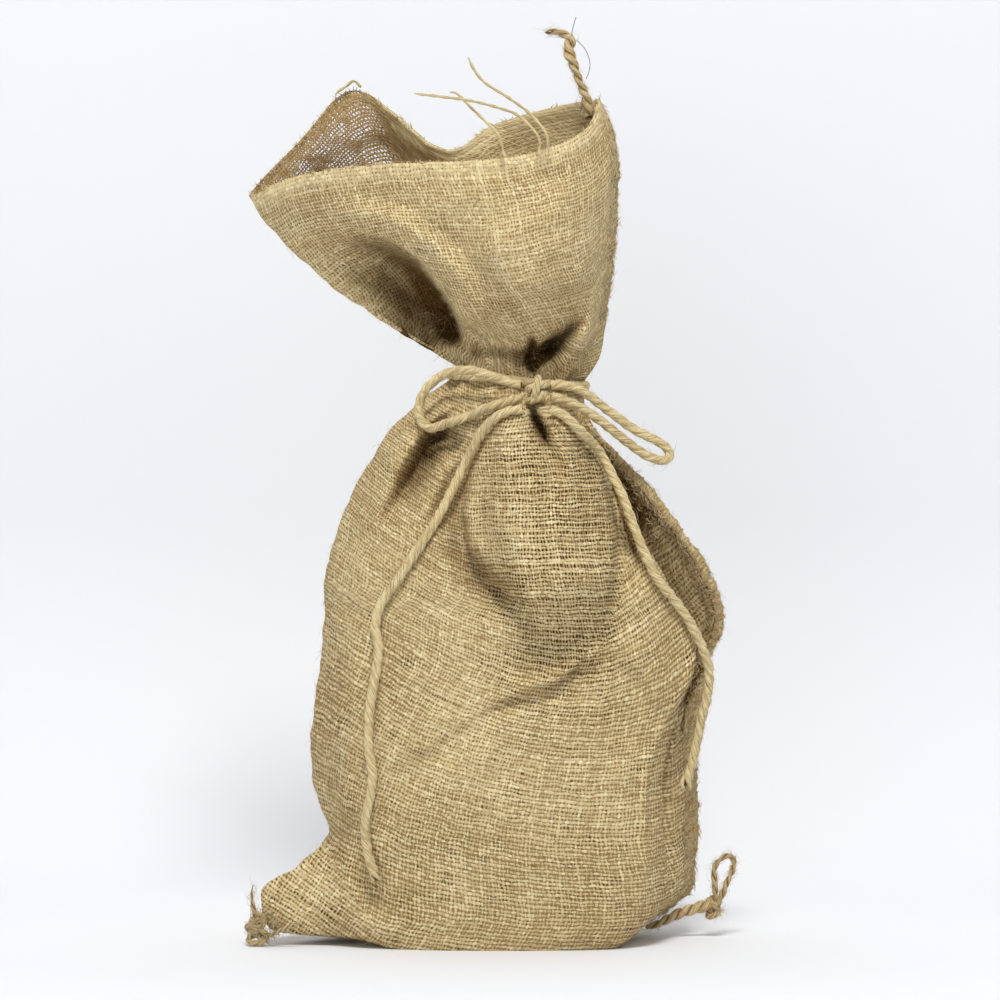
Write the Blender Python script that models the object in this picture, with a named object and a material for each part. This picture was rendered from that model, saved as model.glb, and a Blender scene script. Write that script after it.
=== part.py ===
"""Small hessian sack, standing on its flat base and tied at the neck with jute twine.

Blender 4.5 script. Units are metres and +Z is up. The sack's front faces -Y, and the
origin is the middle of its flat base, on the floor. The tables are in millimetres.
"""

import math
from collections import namedtuple

import bmesh
import bpy
import numpy as np
from mathutils import Vector
from mathutils.bvhtree import BVHTree

MM = 0.001

# Driving sizes, in millimetres
CLOTH_THICKNESS = 2.0      # hessian wall of the open mouth
HEM_DEPTH = 7.0            # woven band at the edge of the mouth
HEM_LIFT = 0.5             # how far the band stands out from the cloth
ROW_STEP = 7.0             # spacing of the sack's rings up the sack
SEAM_RIDGE = 3.0           # overcast seam standing out along the right side
SEAM_START = 4.0           # height at which the seam's ridge starts
SEAM_FADE = 8.0            # and the height that it takes to stand out fully
TWINE_DIAMETER = 4.0
TWINE_PITCH = 15.0         # length of one full turn of the twine's three strands
STRAND_DEPTH = 0.22        # groove between strands, as a share of the cord's radius
SEAM_YARN_DIAMETER = 3.2
SEAM_YARN_PITCH = 10.0
LOOSE_YARN_DIAMETER = 1.3
GAP = 0.3                  # clearance between pieces that touch
SHARP_ANGLE = 60.0         # degrees: only the rim and the base have sharper edges

# Spacing of the points along the cords, as shares of their diameters, and in between
TWINE_SPACING = 0.55
SEAM_YARN_SPACING = 0.7
LOOSE_YARN_SPACING = 2.3
FINE_STEPS = 24            # steps from each point of a route to the next
PROFILE_STEPS = {3: 2, 2: 4}      # profile points for each strand, by number of strands
IN_FRONT = -0.2            # metres: a plane well in front of the sack
EASING = np.array((1, 2, 3, 2, 1)) / 9.0

# The ten points that a section of the sack passes through, in order round it, and the
# number of mesh steps from each to the next
SECTION_POINTS = ("left", "wall_left", "front_left", "front_right", "wall_right",
                  "right", "right_back", "back_right", "back_left", "left_back")
STEPS = (5, 5, 18, 5, 4, 5, 4, 4, 4, 4)
FRONT_STEPS = sum(STEPS[:5])
PLACES = np.concatenate(([0], np.cumsum(STEPS)))

# Sections of the filled body, from the base up. Each point is x, y; the ear at the
# lower left and the fold over the right side show in the left and front_right columns.
Body = namedtuple("Body", "z left wall_left front_left front_right wall_right right "
                          "left_back back_y")
BODY_SECTIONS = (
    Body(0, (-51, -4), (-49, -26), (-43, -43), (44, -43), (50, -26), (52, 0), (-50, 22), 43),
    Body(6, (-79, -27), (-64, -36), (-48, -46), (49, -46), (56, -27), (58, 0), (-65, -2), 45),
    Body(13, (-90, -28), (-69, -36), (-49, -47), (54, -46), (63, -24), (67, 0), (-72, -6), 46),
    Body(21, (-93.5, -27), (-70, -35), (-50, -47), (56, -46), (69, -20), (75, 0), (-74, -6), 47),
    Body(32, (-80, -20), (-67, -31), (-51, -47), (56, -46), (70, -19), (76, 0), (-70, 2), 47),
    Body(44, (-69, -8), (-64, -27), (-52, -48), (56, -45), (69, -19), (77, 0), (-65, 16), 48),
    Body(62, (-75, 0), (-68, -26), (-52, -49), (57, -44), (69, -18), (77, 0), (-69, 24), 48),
    Body(80, (-76, 0), (-69, -26), (-52, -49), (61, -42), (71, -16), (77, 0), (-70, 24), 48),
    Body(98, (-74, 0), (-68, -26), (-52, -48), (69, -38), (74, -12), (77, -1), (-69, 24), 47),
    Body(114, (-72, 0), (-66, -25), (-51, -47), (76, -32), (77, -9), (83, -5), (-67, 24), 46),
    Body(130, (-71, 0), (-65, -24), (-50, -45), (72, -34), (73, -7), (88, -10), (-66, 23), 44),
    Body(148, (-70, 0), (-63, -22), (-47, -42), (62, -37), (63, -8), (82, -13), (-64, 21), 41),
    Body(166, (-65, 0), (-57, -19), (-42, -38), (53, -35), (54, -11), (70, -14), (-57, 18), 37),
    Body(184, (-57, 0), (-49, -16), (-34, -32), (44, -30), (46, -12), (55, -12), (-49, 15), 31),
    Body(202, (-46, 0), (-38, -13), (-24, -25), (33, -23), (38, -9), (40, -5), (-38, 12), 24),
    Body(216, (-30, 0), (-23, -11), (-9, -18), (24, -17), (28, -9), (30, 0), (-23, 10), 18),
)

# Sections from the tie up to the edge of the open mouth. Each point is x, y, z: the
# mouth leans to the left, its left side hollow and its back higher than its front.
Collar = namedtuple("Collar", SECTION_POINTS)
COLLAR_SECTIONS = (
    Collar((-15, 0, 229), (-11, -9, 228), (-1, -14, 226), (17, -14, 225), (26, -8, 224),
           (29, 0, 224), (26, 8, 225), (12, 14, 226), (-3, 13, 228), (-11, 8, 229)),
    Collar((-23, 2, 235), (-15, -7, 235), (-2, -17, 236), (18, -18, 236), (33, -11, 236),
           (37, 0, 238), (30, 13, 240), (8, 19, 243), (-8, 20, 242), (-18, 14, 239)),
    Collar((-44, 3, 247), (-33, 0, 249), (-17, -14, 252), (15, -31, 256), (36, -19, 257),
           (41, 0, 260), (28, 18, 263), (1, 24, 266), (-20, 27, 261), (-35, 20, 254)),
    Collar((-65, 3, 261), (-54, -1, 266), (-33, -18, 273), (12, -37, 278), (37, -23, 279),
           (43, 0, 283), (24, 22, 286), (-8, 25, 287), (-37, 31, 283), (-55, 23, 273)),
    Collar((-84, 1, 277), (-76, -9, 285), (-44, -28, 294), (9, -37, 299), (39, -23, 304),
           (45, -1, 309), (13, 24, 309), (-15, 21, 307), (-47, 31, 312), (-74, 22, 300)),
    Collar((-97, 0, 291), (-84, -14, 299), (-50, -28, 304), (8, -35, 309), (37, -22, 316),
           (43, -1, 325), (4, 24, 321), (-19, 16, 314), (-53, 28, 330), (-77, 18, 316)),
    Collar((-101, 0, 299), (-85, -15, 306), (-52, -28, 311), (8, -34, 315), (34, -22, 325),
           (37, -1, 336.5), (-2, 24, 328.5), (-21, 14, 318), (-57, 28, 342), (-79, 18, 324)),
)

# Folds in the front of the cloth: a ridge towards the front (+) or a trough (-) along a
# line of x, z points. Its half widths are those to the left and right of the line's
# direction, and it fades in and out over the given shares of its length.
Fold = namedtuple("Fold", "name left right height fade_in fade_out line")
FOLDS = (
    Fold("drape from the knot", 32, 25, 19, 0.1, 0.3,
         ((14, 222), (13, 190), (15, 166), (20, 148), (27, 120))),
    Fold("valley left of the drape", 6, 17, -14, 0.25, 0.25,
         ((-8, 210), (-14, 190), (-17, 172), (-14, 158), (-6, 147), (8, 137), (21, 128),
          (32, 121), (37, 114))),
    Fold("valley right of the drape", 15, 4.5, -21, 0.1, 0.4,
         ((25, 217), (34, 206), (41, 194), (45.5, 180), (47.5, 165), (47, 148), (44, 137),
          (39, 122))),
    Fold("lip at the end of the drape", 5, 9, 4.5, 0.3, 0.4,
         ((39, 128), (37, 117), (29, 108), (14, 103), (0, 98))),
    Fold("crease under the lip", 7, 2.2, -6, 0.2, 0.5,
         ((38, 120), (34, 113), (26, 107), (16, 103), (2, 98), (-14, 90))),
    Fold("faint crease", 10, 7, -2.5, 0.4, 0.4, ((6, 100), (-22, 80), (-52, 62))),
    Fold("fold inside the drape", 5, 8, -7, 0.1, 0.6,
         ((11, 214), (16, 205), (22, 192), (25, 174))),
    Fold("pleat under the knot", 4, 5, -11, 0.1, 0.5, ((12, 218), (14, 211), (18, 204), (21, 196))),
    Fold("puff right of the pleat", 6, 5, 5, 0.2, 0.4, ((19, 216), (27, 207), (34, 196))),
    Fold("pleat by the right tail", 4, 3, -9, 0.1, 0.4, ((22, 216), (27, 211), (34, 204))),
    Fold("shoulder ridge", 9, 9, 6, 0.3, 0.3, ((-32, 204), (-50, 180), (-66, 158))),
    Fold("shoulder hollow", 13, 8, -20, 0.15, 0.6, ((-17, 209), (-28, 199), (-36, 186), (-45, 160))),
    Fold("puff in the left loop", 5, 5, 5, 0.2, 0.3, ((-10, 222), (-19, 218), (-27, 212))),
    Fold("fold at the left tail", 9, 4, -4, 0.3, 0.4, ((-20, 196), (-24, 178), (-34, 158))),
    Fold("lower left fold", 7, 9, -4.5, 0.3, 0.2, ((-60, 60), (-55, 40), (-50, 24), (-47, 8))),
    Fold("left wall fold", 9, 9, 3, 0.3, 0.3, ((-62, 140), (-62, 96), (-66, 56))),
    Fold("mouth hollow", 5, 30, -28, 0.6, 0.3,
         ((-18, 236), (-20, 248), (-26, 258), (-36, 267), (-48, 274), (-62, 277), (-76, 277))[::-1]),
    Fold("bulge's edge", 16, 3.5, 9, 0.5, 0.15,
         ((-12, 242), (-14, 253), (-20, 262), (-30, 270), (-44, 280), (-60, 284), (-76, 285))[::-1]),
    Fold("front bulge", 30, 30, 9, 0.2, 0.3, ((20, 256), (16, 278), (4, 296))),
    Fold("under the bulge", 4, 11, -21, 0.2, 0.2,
         ((-17, 235), (-6, 234), (4, 234), (14, 236), (24, 241), (34, 248))),
    Fold("groove above the right roll", 4, 5, -9, 0.3, 0.3, ((12, 235), (20, 240), (30, 247), (36, 252))),
    Fold("right roll", 8, 7, 7, 0.2, 0.3, ((17, 229), (28, 237), (44, 248))),
    Fold("crevice above the knot", 3, 3.5, -10, 0.2, 0.2, ((14, 243), (12, 236), (13, 226))),
    Fold("slack over the right side", 14, 9, 5, 0.4, 0.4, ((44, 128), (60, 112), (66, 92))),
    Fold("dip beside the slack", 8, 12, -3.5, 0.4, 0.4, ((40, 108), (50, 92), (52, 70))),
)
SHARPEST_FOLD = 9.0        # least half width that the mesh's spacing can show
FOLD_BAND = 1.6            # share of the front, against its sides, that folds reach fully
FLAT_BASE = 20.0           # folds fade out over this height above the floor
RIDGE_FULLNESS = 1.5       # how much fuller a ridge is than a plain bell shape
MOUTH_ROOM = 10.0          # the folds of the mouth's front stop this far short of its back

# Folds that run up the wall: the place on the section counts its points from 0, left,
# to 10, left again, and the height is along the wall's outward direction. Each line is
# a few place, z points, and the fold fades in and out over a share of its reach.
WallFold = namedtuple("WallFold", "name half_width height line")
WALL_FOLDS = (
    WallFold("front right edge", 4, 1.6, ((3.05, 20), (3.0, 70), (3.0, 130))),
    WallFold("recess behind it", 7, -5, ((3.8, 36), (3.6, 90), (3.5, 128), (3.5, 160), (3.6, 200))),
    WallFold("strip by the seam", 3.2, -1.6, ((4.62, 20), (4.62, 90), (4.6, 150), (4.6, 196))),
    WallFold("back gather a", 9, 4, ((7.1, 214), (6.9, 170), (6.7, 120))),
    WallFold("back gather b", 10, -5, ((7.5, 216), (7.45, 170), (7.3, 130))),
    WallFold("back gather c", 11, 5, ((8.0, 216), (8.1, 180), (8.3, 140))),
    WallFold("back gather d", 9, -4, ((8.4, 214), (8.6, 180), (8.8, 150))),
    WallFold("left gather", 8, 3, ((9.3, 212), (9.2, 170), (9.3, 130))),
    WallFold("back slack", 22, -3, ((7.2, 120), (7.6, 80), (7.4, 36))),
    WallFold("right back edge", 7, 2, ((6.5, 150), (6.6, 90), (6.5, 30))),
)
WALL_FADE = 0.3

# Small pleats where the cloth is gathered at the tie
TIE_HEIGHT = 225.0
TIE_GRIP = 18.0            # the tie flattens the folds within this distance
PLEAT_COUNT = 11
PLEAT_DEPTH = 1.6
PLEAT_REACH = 34.0
FRONT_PLEATS = 0.4         # the front's own folds leave this share of the pleats' depth
MOUTH_FLOOR = 20.0         # the open mouth ends this far above the tie

NECK_CENTRE = (8.0, 0.0, 225.0)
NECK_LEAN = 2.2            # the twine round the neck is lower on the right
NECK_SEARCH = 60.0         # further from the neck's middle than any of its pleats
NECK_STEPS = 72

# The plain back of the body: where its points stand, as shares of the body's width
BACK_RIGHT_INSET = 0.26
BACK_LEFT_INSET = 0.24
BACK_LEFT_START = -20.0    # x of the back's left point on a body as wide as the neck
NECK_WIDTH = 45.0
RIGHT_BACK_INSET = 0.07

# Routes of the twine and yarns, as x, y, z points. Where the cloth stands further
# forward than a route, the route is lifted clear of it.
LOOP_LEFT = ((8.4, -28, 223.8), (4.8, -27.5, 224.4), (-0.8, -26.5, 226.4), (-7.2, -25, 228.4),
             (-13.6, -23, 229.6), (-19.2, -21, 228.8), (-24, -19, 226.8), (-28, -18, 223.6),
             (-30.8, -17, 219.6), (-32.4, -16, 215.6), (-32.4, -16, 211.6), (-30.4, -17, 207.6),
             (-26.8, -18, 206.2), (-21.6, -19, 208), (-15.2, -20, 210.2), (-9.6, -21.5, 212.4),
             (-4.8, -23, 214.6), (0.4, -25, 216.6), (8.4, -27, 218.6))
LOOP_RIGHT = ((20.2, -27.5, 223.6), (24, -27.5, 223.8), (28.4, -26.5, 223), (32.8, -25, 221.2),
              (37.6, -24, 217.8), (42.4, -23, 214), (47.2, -22.5, 210.4), (52, -22, 206.8),
              (56.8, -21.5, 204), (61.2, -21, 202), (65.2, -20.5, 199.6), (67.8, -20, 196.4),
              (66.2, -20, 193.4), (62, -20.5, 194), (57.6, -21, 196), (53, -21.5, 199),
              (48, -22.5, 203), (43.4, -23.5, 206.8), (38.8, -25.5, 210.4), (34, -27, 213.6),
              (29.2, -28.5, 216.2), (24.4, -29.5, 218.2), (20.4, -29.5, 219.2))
TAIL_LEFT = ((8.8, -31, 214.4), (3.2, -30.5, 213.6), (-0.8, -29.5, 211.8), (-3.8, -28.5, 209.4),
             (-6.4, -28, 206.2), (-8.4, -27.5, 203), (-11, -28, 197.8), (-15.6, -30, 189.2),
             (-20.4, -33, 179.2), (-26, -37, 169.2), (-32.8, -40, 158.8), (-40.8, -42, 146.6),
             (-47.2, -44, 137.2), (-49.2, -46, 128.6), (-48, -47, 119.6), (-49.6, -49, 107.2),
             (-51.4, -50, 96), (-51.8, -50, 81.6), (-50.4, -50, 68), (-53.2, -49, 51.6),
             (-52.6, -49, 40.8), (-50.4, -49, 32.8), (-48.8, -49, 28))
TAIL_RIGHT = ((20.2, -25.5, 214.4), (24, -25, 212.8), (27.5, -25, 210.2), (30.8, -25.5, 207),
              (34.4, -26.5, 203.4), (37.4, -28, 200), (40.4, -29, 196), (44.6, -33, 188),
              (49, -36, 179.2), (52.6, -38, 169.2), (56.6, -40, 159), (62, -40, 147.7),
              (70, -38, 137.6), (76, -36, 128.6), (80.4, -34, 119.6), (83.2, -32, 110.8),
              (82.8, -30, 100.6), (80.4, -29, 90), (79, -28, 82.8), (76.6, -27, 72),
              (73.9, -26, 62.4))
SEAM_END_TOP = ((34.8, -1, 338.2), (33.6, -1, 341.2), (31.8, -1, 345.6), (30.2, -1, 350.5),
                (28.6, -0.5, 354.5), (27.5, 0, 358.5), (28.4, 0, 362), (25.6, 0.5, 364.2),
                (21.7, 1, 365.3), (18.1, 1, 364.9))
SEAM_END_LEFT = ((-97.8, -33.5, 13.2), (-98.6, -34, 16.6), (-99, -34, 20.6), (-98.5, -34, 24.4))
SEAM_TAIL_RIGHT = ((63.6, -6, 5), (69.4, -6, 8), (74.8, -6, 10.6), (81.2, -5, 12.2))
SEAM_LOOP_RIGHT = ((87, -4, 18.2), (86.5, -4, 23.4), (86.6, -4, 27.8), (88.6, -3, 31),
                   (92.3, -2, 32.9), (94.7, -2, 30.6), (93.8, -3, 26.6), (92, -4, 22.8),
                   (90.8, -4, 18.8))
LOOSE_YARNS = (
    ((15.6, -38, 314.6), (15.2, -37.5, 322), (8, -36, 330), (0, -37, 333.4), (-12, -38, 336.4),
     (-24, -38, 338), (-34, -38, 339.2)),
    ((18.4, -37.5, 314.4), (18.6, -37, 322.4), (12.6, -35, 330.6), (4, -34, 337.2),
     (-6, -34, 343.6), (-10.4, -34, 349), (-12.6, -34, 353.6)),
    ((2, -39, 314), (-0.6, -38, 322.8), (-6, -36, 328.4), (-11.6, -35, 333.8),
     (-17, -34, 339.2), (-19.8, -34, 339.8)),
    ((-56.6, 27, 343.8), (-59.6, 26, 346.2), (-62.6, 25, 344), (-66.4, 24, 341.4),
     (-66.8, 23, 339)),
)

# Knots: rounded lumps with a ridge for each strand that crosses them, which lean by the
# given turn, in radians, from the middle to the top
Knot = namedtuple("Knot", "name centre half_size ridges lean")
TWINE_KNOT = Knot("twine_knot", (14.4, -28, 221), (4.6, 4.4, 5.4), 7, 1.0)
SEAM_KNOTS = (
    Knot("seam_knot_left", (-97, -33, 6.5), (4.6, 4.4, 6.1), 5, 1.5),
    Knot("seam_knot_right", (86.2, -4, 12.2), (4.2, 3.8, 4.6), 5, 1.5),
)
KNOT_RIDGE_DEPTH = 0.14    # as a share of the knot's radius

Look = namedtuple("Look", "colour roughness")
HESSIAN = Look((0.49, 0.39, 0.22), 0.95)
TWINE = Look((0.53, 0.41, 0.21), 0.85)
SEAM_YARN = Look((0.47, 0.33, 0.16), 0.9)


def clear_scene():
    for old in list(bpy.data.objects):
        bpy.data.objects.remove(old, do_unlink=True)


def new_collection(name):
    collection = bpy.data.collections.new(name)
    bpy.context.scene.collection.children.link(collection)
    return collection


def new_material(name, look):
    material = bpy.data.materials.new(name)
    material.use_nodes = True
    shader = material.node_tree.nodes["Principled BSDF"]
    shader.inputs["Base Color"].default_value = (*look.colour, 1.0)
    shader.inputs["Roughness"].default_value = look.roughness
    shader.inputs["Metallic"].default_value = 0.0
    return material


def smooth_step(t):
    t = np.clip(t, 0.0, 1.0)
    return t * t * (3.0 - 2.0 * t)


# ---- Shape of the sack ----

def body_section(row):
    """The ten points of one body section: the back half is plain and even."""
    width = row.right[0] - row.left[0]
    back_right = (row.right[0] - BACK_RIGHT_INSET * width, row.back_y)
    back_left = (BACK_LEFT_START - BACK_LEFT_INSET * (width - NECK_WIDTH), row.back_y)
    right_back = (row.right[0] - RIGHT_BACK_INSET * width, 0.5 * row.back_y)
    flat = (row.left, row.wall_left, row.front_left, row.front_right, row.wall_right,
            row.right, right_back, back_right, back_left, row.left_back)
    return [(x, y, row.z) for x, y in flat]


def monotone_columns(values, stations, wanted):
    """Cubic through each column of values that never overshoots its rows."""
    gaps = np.diff(stations)
    slopes = np.diff(values, axis=0) / gaps[:, None]
    inner = np.zeros_like(values)
    product = slopes[1:] * slopes[:-1]
    total = slopes[1:] + slopes[:-1]
    safe = np.where(product > 0, total, 1.0)
    inner[1:-1] = np.where(product > 0, 2.0 * product / safe, 0.0)
    inner[0] = slopes[0]
    inner[-1] = slopes[-1]
    span = np.clip(np.searchsorted(stations, wanted, side="right") - 1, 0, len(gaps) - 1)
    width = gaps[span][:, None]
    t = ((wanted - stations[span]) / gaps[span])[:, None]
    start_weight = (1 + 2 * t) * (1 - t) ** 2
    end_weight = t * t * (3 - 2 * t)
    start_slope = t * (1 - t) ** 2 * width
    end_slope = t * t * (t - 1) * width
    return (start_weight * values[span] + end_weight * values[span + 1]
            + start_slope * inner[span] + end_slope * inner[span + 1])


def closed_curve(points, steps):
    """Smooth closed curve that keeps close to the points where they lie near each other."""
    count = len(points)
    gaps = np.sqrt(np.linalg.norm(np.roll(points, -1, axis=0) - points, axis=1))
    curve = []
    for i in range(count):
        before, start, end, after = (points[(i + k) % count] for k in (-1, 0, 1, 2))
        gap_before, gap, gap_after = gaps[i - 1], gaps[i], gaps[(i + 1) % count]
        leave = ((start - before) / gap_before - (end - before) / (gap_before + gap)
                 + (end - start) / gap) * gap
        arrive = ((end - start) / gap - (after - start) / (gap + gap_after)
                  + (after - end) / gap_after) * gap
        t = (np.arange(steps[i]) / steps[i])[:, None]
        curve.append((1 + 2 * t) * (1 - t) ** 2 * start + t * t * (3 - 2 * t) * end
                     + t * (1 - t) ** 2 * leave + t * t * (t - 1) * arrive)
    return np.concatenate(curve)


def fold_depth(x, z):
    """How far the folds bring the front of the cloth towards -Y at each x, z."""
    depth = np.zeros_like(x)
    for fold in FOLDS:
        line = np.array(fold.line, dtype=float)
        runs = np.diff(line, axis=0)
        lengths = np.hypot(runs[:, 0], runs[:, 1])
        starts = np.concatenate(([0.0], np.cumsum(lengths)))
        nearest = np.full_like(x, np.inf)
        share = np.zeros_like(x)
        on_left = np.zeros(x.shape, dtype=bool)
        for (x0, z0), (run_x, run_z), length, start in zip(line, runs, lengths, starts):
            along = np.clip(((x - x0) * run_x + (z - z0) * run_z) / length ** 2, 0.0, 1.0)
            off_x, off_z = x - x0 - along * run_x, z - z0 - along * run_z
            distance = np.hypot(off_x, off_z)
            nearer = distance < nearest
            nearest = np.where(nearer, distance, nearest)
            share = np.where(nearer, (start + along * length) / starts[-1], share)
            on_left = np.where(nearer, run_x * off_z - run_z * off_x > 0, on_left)
        width = np.maximum(np.where(on_left, fold.left, fold.right), SHARPEST_FOLD)
        height = fold.height * min(1.0, 0.5 * (fold.left + fold.right) / SHARPEST_FOLD)
        fade = smooth_step(share / max(fold.fade_in, 0.01))
        fade = fade * smooth_step((1.0 - share) / max(fold.fade_out, 0.01))
        fullness = RIDGE_FULLNESS if fold.height > 0 else 1.0
        depth += height * fade * smooth_step(fullness * (1.0 - nearest / width))
    return depth


def wall_fold_depth(rings):
    """How far the wall folds bring the cloth outwards."""
    closed = np.concatenate((rings, rings[:, :1]), axis=1)
    lengths = np.linalg.norm(np.diff(closed, axis=1), axis=2)
    round_it = np.concatenate((np.zeros((len(rings), 1)), np.cumsum(lengths, axis=1)), axis=1)
    z = rings[:, :, 2].mean(axis=1)
    depth = np.zeros(rings.shape[:2])
    for fold in WALL_FOLDS:
        places = np.array([p for p, _ in fold.line])
        heights = np.array([h for _, h in fold.line], dtype=float)
        order = np.argsort(heights)
        place = np.interp(z, heights[order], places[order])
        column = np.interp(place, np.arange(len(PLACES)), PLACES)
        low = np.floor(column).astype(int)
        rows = np.arange(len(rings))
        centre = (round_it[rows, low] * (1 - column + low)
                  + round_it[rows, np.minimum(low + 1, PLACES[-1])] * (column - low))
        distance = np.abs(round_it[:, :-1] - centre[:, None])
        distance = np.minimum(distance, round_it[:, -1:] - distance)
        reach = heights.max() - heights.min()
        rise, run_out = z - heights.min(), heights.max() - z
        fade = smooth_step(rise / (WALL_FADE * reach) + 0.5)
        fade = fade * smooth_step(run_out / (WALL_FADE * reach) + 0.33)
        depth += fold.height * fade[:, None] * smooth_step(1.0 - distance / fold.half_width)
    return depth


def keep_mouth_open(rings, plain):
    """Stop the folds of the mouth's front short of its back."""
    for ring, before in zip(rings, plain):
        if ring[:, 2].mean() < TIE_HEIGHT:
            continue
        back = ring[FRONT_STEPS:]
        order = np.argsort(back[:, 0])
        limit = np.interp(ring[:FRONT_STEPS, 0], back[order, 0], back[order, 1]) - MOUTH_ROOM
        limit = np.maximum(limit, before[:FRONT_STEPS, 1])
        ring[:FRONT_STEPS, 1] = np.minimum(ring[:FRONT_STEPS, 1], limit)


def sack_rings():
    """Rings of the sack's outer surface, from the base to the edge of the mouth."""
    sections = np.array([body_section(row) for row in BODY_SECTIONS]
                        + [list(row) for row in COLLAR_SECTIONS], dtype=float)
    spacing = np.linalg.norm(np.diff(sections, axis=0), axis=2).mean(axis=1)
    stations = np.concatenate(([0.0], np.cumsum(spacing)))
    wanted = np.linspace(0.0, stations[-1], int(stations[-1] / ROW_STEP) + 1)
    hem_start = stations[-1] - HEM_DEPTH
    wanted = np.append(wanted[wanted < hem_start - 0.5 * ROW_STEP],
                       (hem_start - 1.0, hem_start, stations[-1]))
    flat = sections.reshape(len(sections), -1)
    cages = monotone_columns(flat, stations, wanted).reshape(len(wanted), -1, 3)
    rings = np.array([closed_curve(cage, STEPS) for cage in cages])
    plain = rings.copy()

    round_front = np.arange(rings.shape[1]) / FRONT_STEPS
    front = np.where(round_front < 1.0, np.sin(np.pi * np.minimum(round_front, 1.0)), 0.0)
    front = smooth_step(FOLD_BAND * front)
    above_base = smooth_step(rings[:, :, 2] / FLAT_BASE)
    free_of_tie = smooth_step(np.abs(rings[:, :, 2] - TIE_HEIGHT) / TIE_GRIP)
    depth = fold_depth(rings[:, :, 0], rings[:, :, 2])
    rings[:, :, 1] -= front * above_base * free_of_tie * depth
    keep_mouth_open(rings, plain)
    outward = outward_normals(rings)
    rings += outward * (wall_fold_depth(rings) * above_base * free_of_tie)[:, :, None]

    outward = outward_normals(rings)
    turn = np.linspace(0.0, 2.0 * np.pi * PLEAT_COUNT, rings.shape[1], endpoint=False)
    near_tie = smooth_step(1.0 - np.abs(rings[:, :, 2] - TIE_HEIGHT) / PLEAT_REACH)
    share = 1.0 - (1.0 - FRONT_PLEATS) * front
    rings += outward * (PLEAT_DEPTH * share * np.cos(turn) * near_tie)[:, :, None]

    ridge = np.zeros(rings.shape[1])
    ridge[FRONT_STEPS] = SEAM_RIDGE
    seam_height = smooth_step((rings[:, FRONT_STEPS, 2] - SEAM_START) / SEAM_FADE)
    rings += outward * (ridge[None, :] * seam_height[:, None])[:, :, None]
    rings[-2:] += outward[-2:] * HEM_LIFT
    return rings


def outward_normals(rings):
    along = np.gradient(rings, axis=0)
    around = np.roll(rings, -1, axis=1) - np.roll(rings, 1, axis=1)
    normals = np.cross(around, along)
    return normals / np.maximum(np.linalg.norm(normals, axis=2), 1e-9)[:, :, None]


def bridge(mesh, ring_a, ring_b):
    count = len(ring_a)
    for i in range(count):
        j = (i + 1) % count
        mesh.faces.new((ring_a[i], ring_a[j], ring_b[j], ring_b[i]))


def build_sack(collection, material):
    """Filled body with a flat base, gathered neck and open, hollow mouth."""
    rings = sack_rings()
    normals = outward_normals(rings)
    over_floor = rings[:, :, 2].mean(axis=1) > TIE_HEIGHT + MOUTH_FLOOR
    hollow_floor = 1 + int(np.argmax(over_floor))
    inner = rings[hollow_floor:] - normals[hollow_floor:] * CLOTH_THICKNESS

    mesh = bmesh.new()
    outer_rings = [[mesh.verts.new(Vector(p) * MM) for p in ring] for ring in rings]
    inner_rings = [[mesh.verts.new(Vector(p) * MM) for p in ring] for ring in inner]
    for lower, upper in zip(outer_rings, outer_rings[1:]):
        bridge(mesh, lower, upper)
    for lower, upper in zip(inner_rings, inner_rings[1:]):
        bridge(mesh, upper, lower)
    bridge(mesh, outer_rings[-1], inner_rings[-1])
    mesh.faces.new(list(reversed(outer_rings[0])))
    floor_centre = mesh.verts.new(Vector(inner[0].mean(axis=0)) * MM)
    floor_ring = inner_rings[0]
    for i, vertex in enumerate(floor_ring):
        mesh.faces.new((vertex, floor_ring[(i + 1) % len(floor_ring)], floor_centre))
    bmesh.ops.recalc_face_normals(mesh, faces=mesh.faces)

    data = bpy.data.meshes.new("sack")
    surface = BVHTree.FromBMesh(mesh)
    mesh.to_mesh(data)
    mesh.free()
    data.shade_smooth()
    data.set_sharp_from_angle(angle=math.radians(SHARP_ANGLE))
    data.materials.append(material)
    sack = bpy.data.objects.new("sack", data)
    collection.objects.link(sack)
    return surface


# ---- Twine and yarns ----

def smooth_route(points, spacing):
    """Points at an even spacing on a smooth curve through the route's points."""
    points = [Vector(p) for p in points]
    ends = [2 * points[0] - points[1], 2 * points[-1] - points[-2]]
    padded = [ends[0], *points, ends[1]]
    fine = []
    for before, start, end, after in zip(padded, padded[1:], padded[2:], padded[3:]):
        for step in range(FINE_STEPS):
            t = step / FINE_STEPS
            fine.append(0.5 * (2 * start + (end - before) * t
                               + (2 * before - 5 * start + 4 * end - after) * t * t
                               + (3 * start - before - 3 * end + after) * t ** 3))
    fine.append(points[-1])
    lengths = np.concatenate(([0.0], np.cumsum([(b - a).length for a, b in zip(fine, fine[1:])])))
    count = max(3, round(lengths[-1] / spacing) + 1)
    wanted = np.linspace(0.0, lengths[-1], count)
    array = np.array(fine)
    return np.column_stack([np.interp(wanted, lengths, array[:, k]) for k in range(3)])


def lift_clear(route, surface, clearance):
    """Bring a route forward wherever the cloth would come nearer than the clearance."""
    reach = 0.8 * clearance
    needed = route[:, 1].copy()
    offsets = [(dx * reach, dz * reach) for dx in (-1, 0, 1) for dz in (-1, 0, 1)]
    for i, (x, _, z) in enumerate(route):
        for dx, dz in offsets:
            origin = Vector(((x + dx) * MM, IN_FRONT, (z + dz) * MM))
            hit = surface.ray_cast(origin, Vector((0, 1, 0)))[0]
            if hit is not None:
                needed[i] = min(needed[i], hit.y / MM - clearance)
    eased = np.convolve(np.pad(needed, len(EASING) // 2, mode="edge"), EASING, mode="valid")
    lifted = route.copy()
    lifted[:, 1] = np.minimum(needed, eased)
    return lifted


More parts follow.
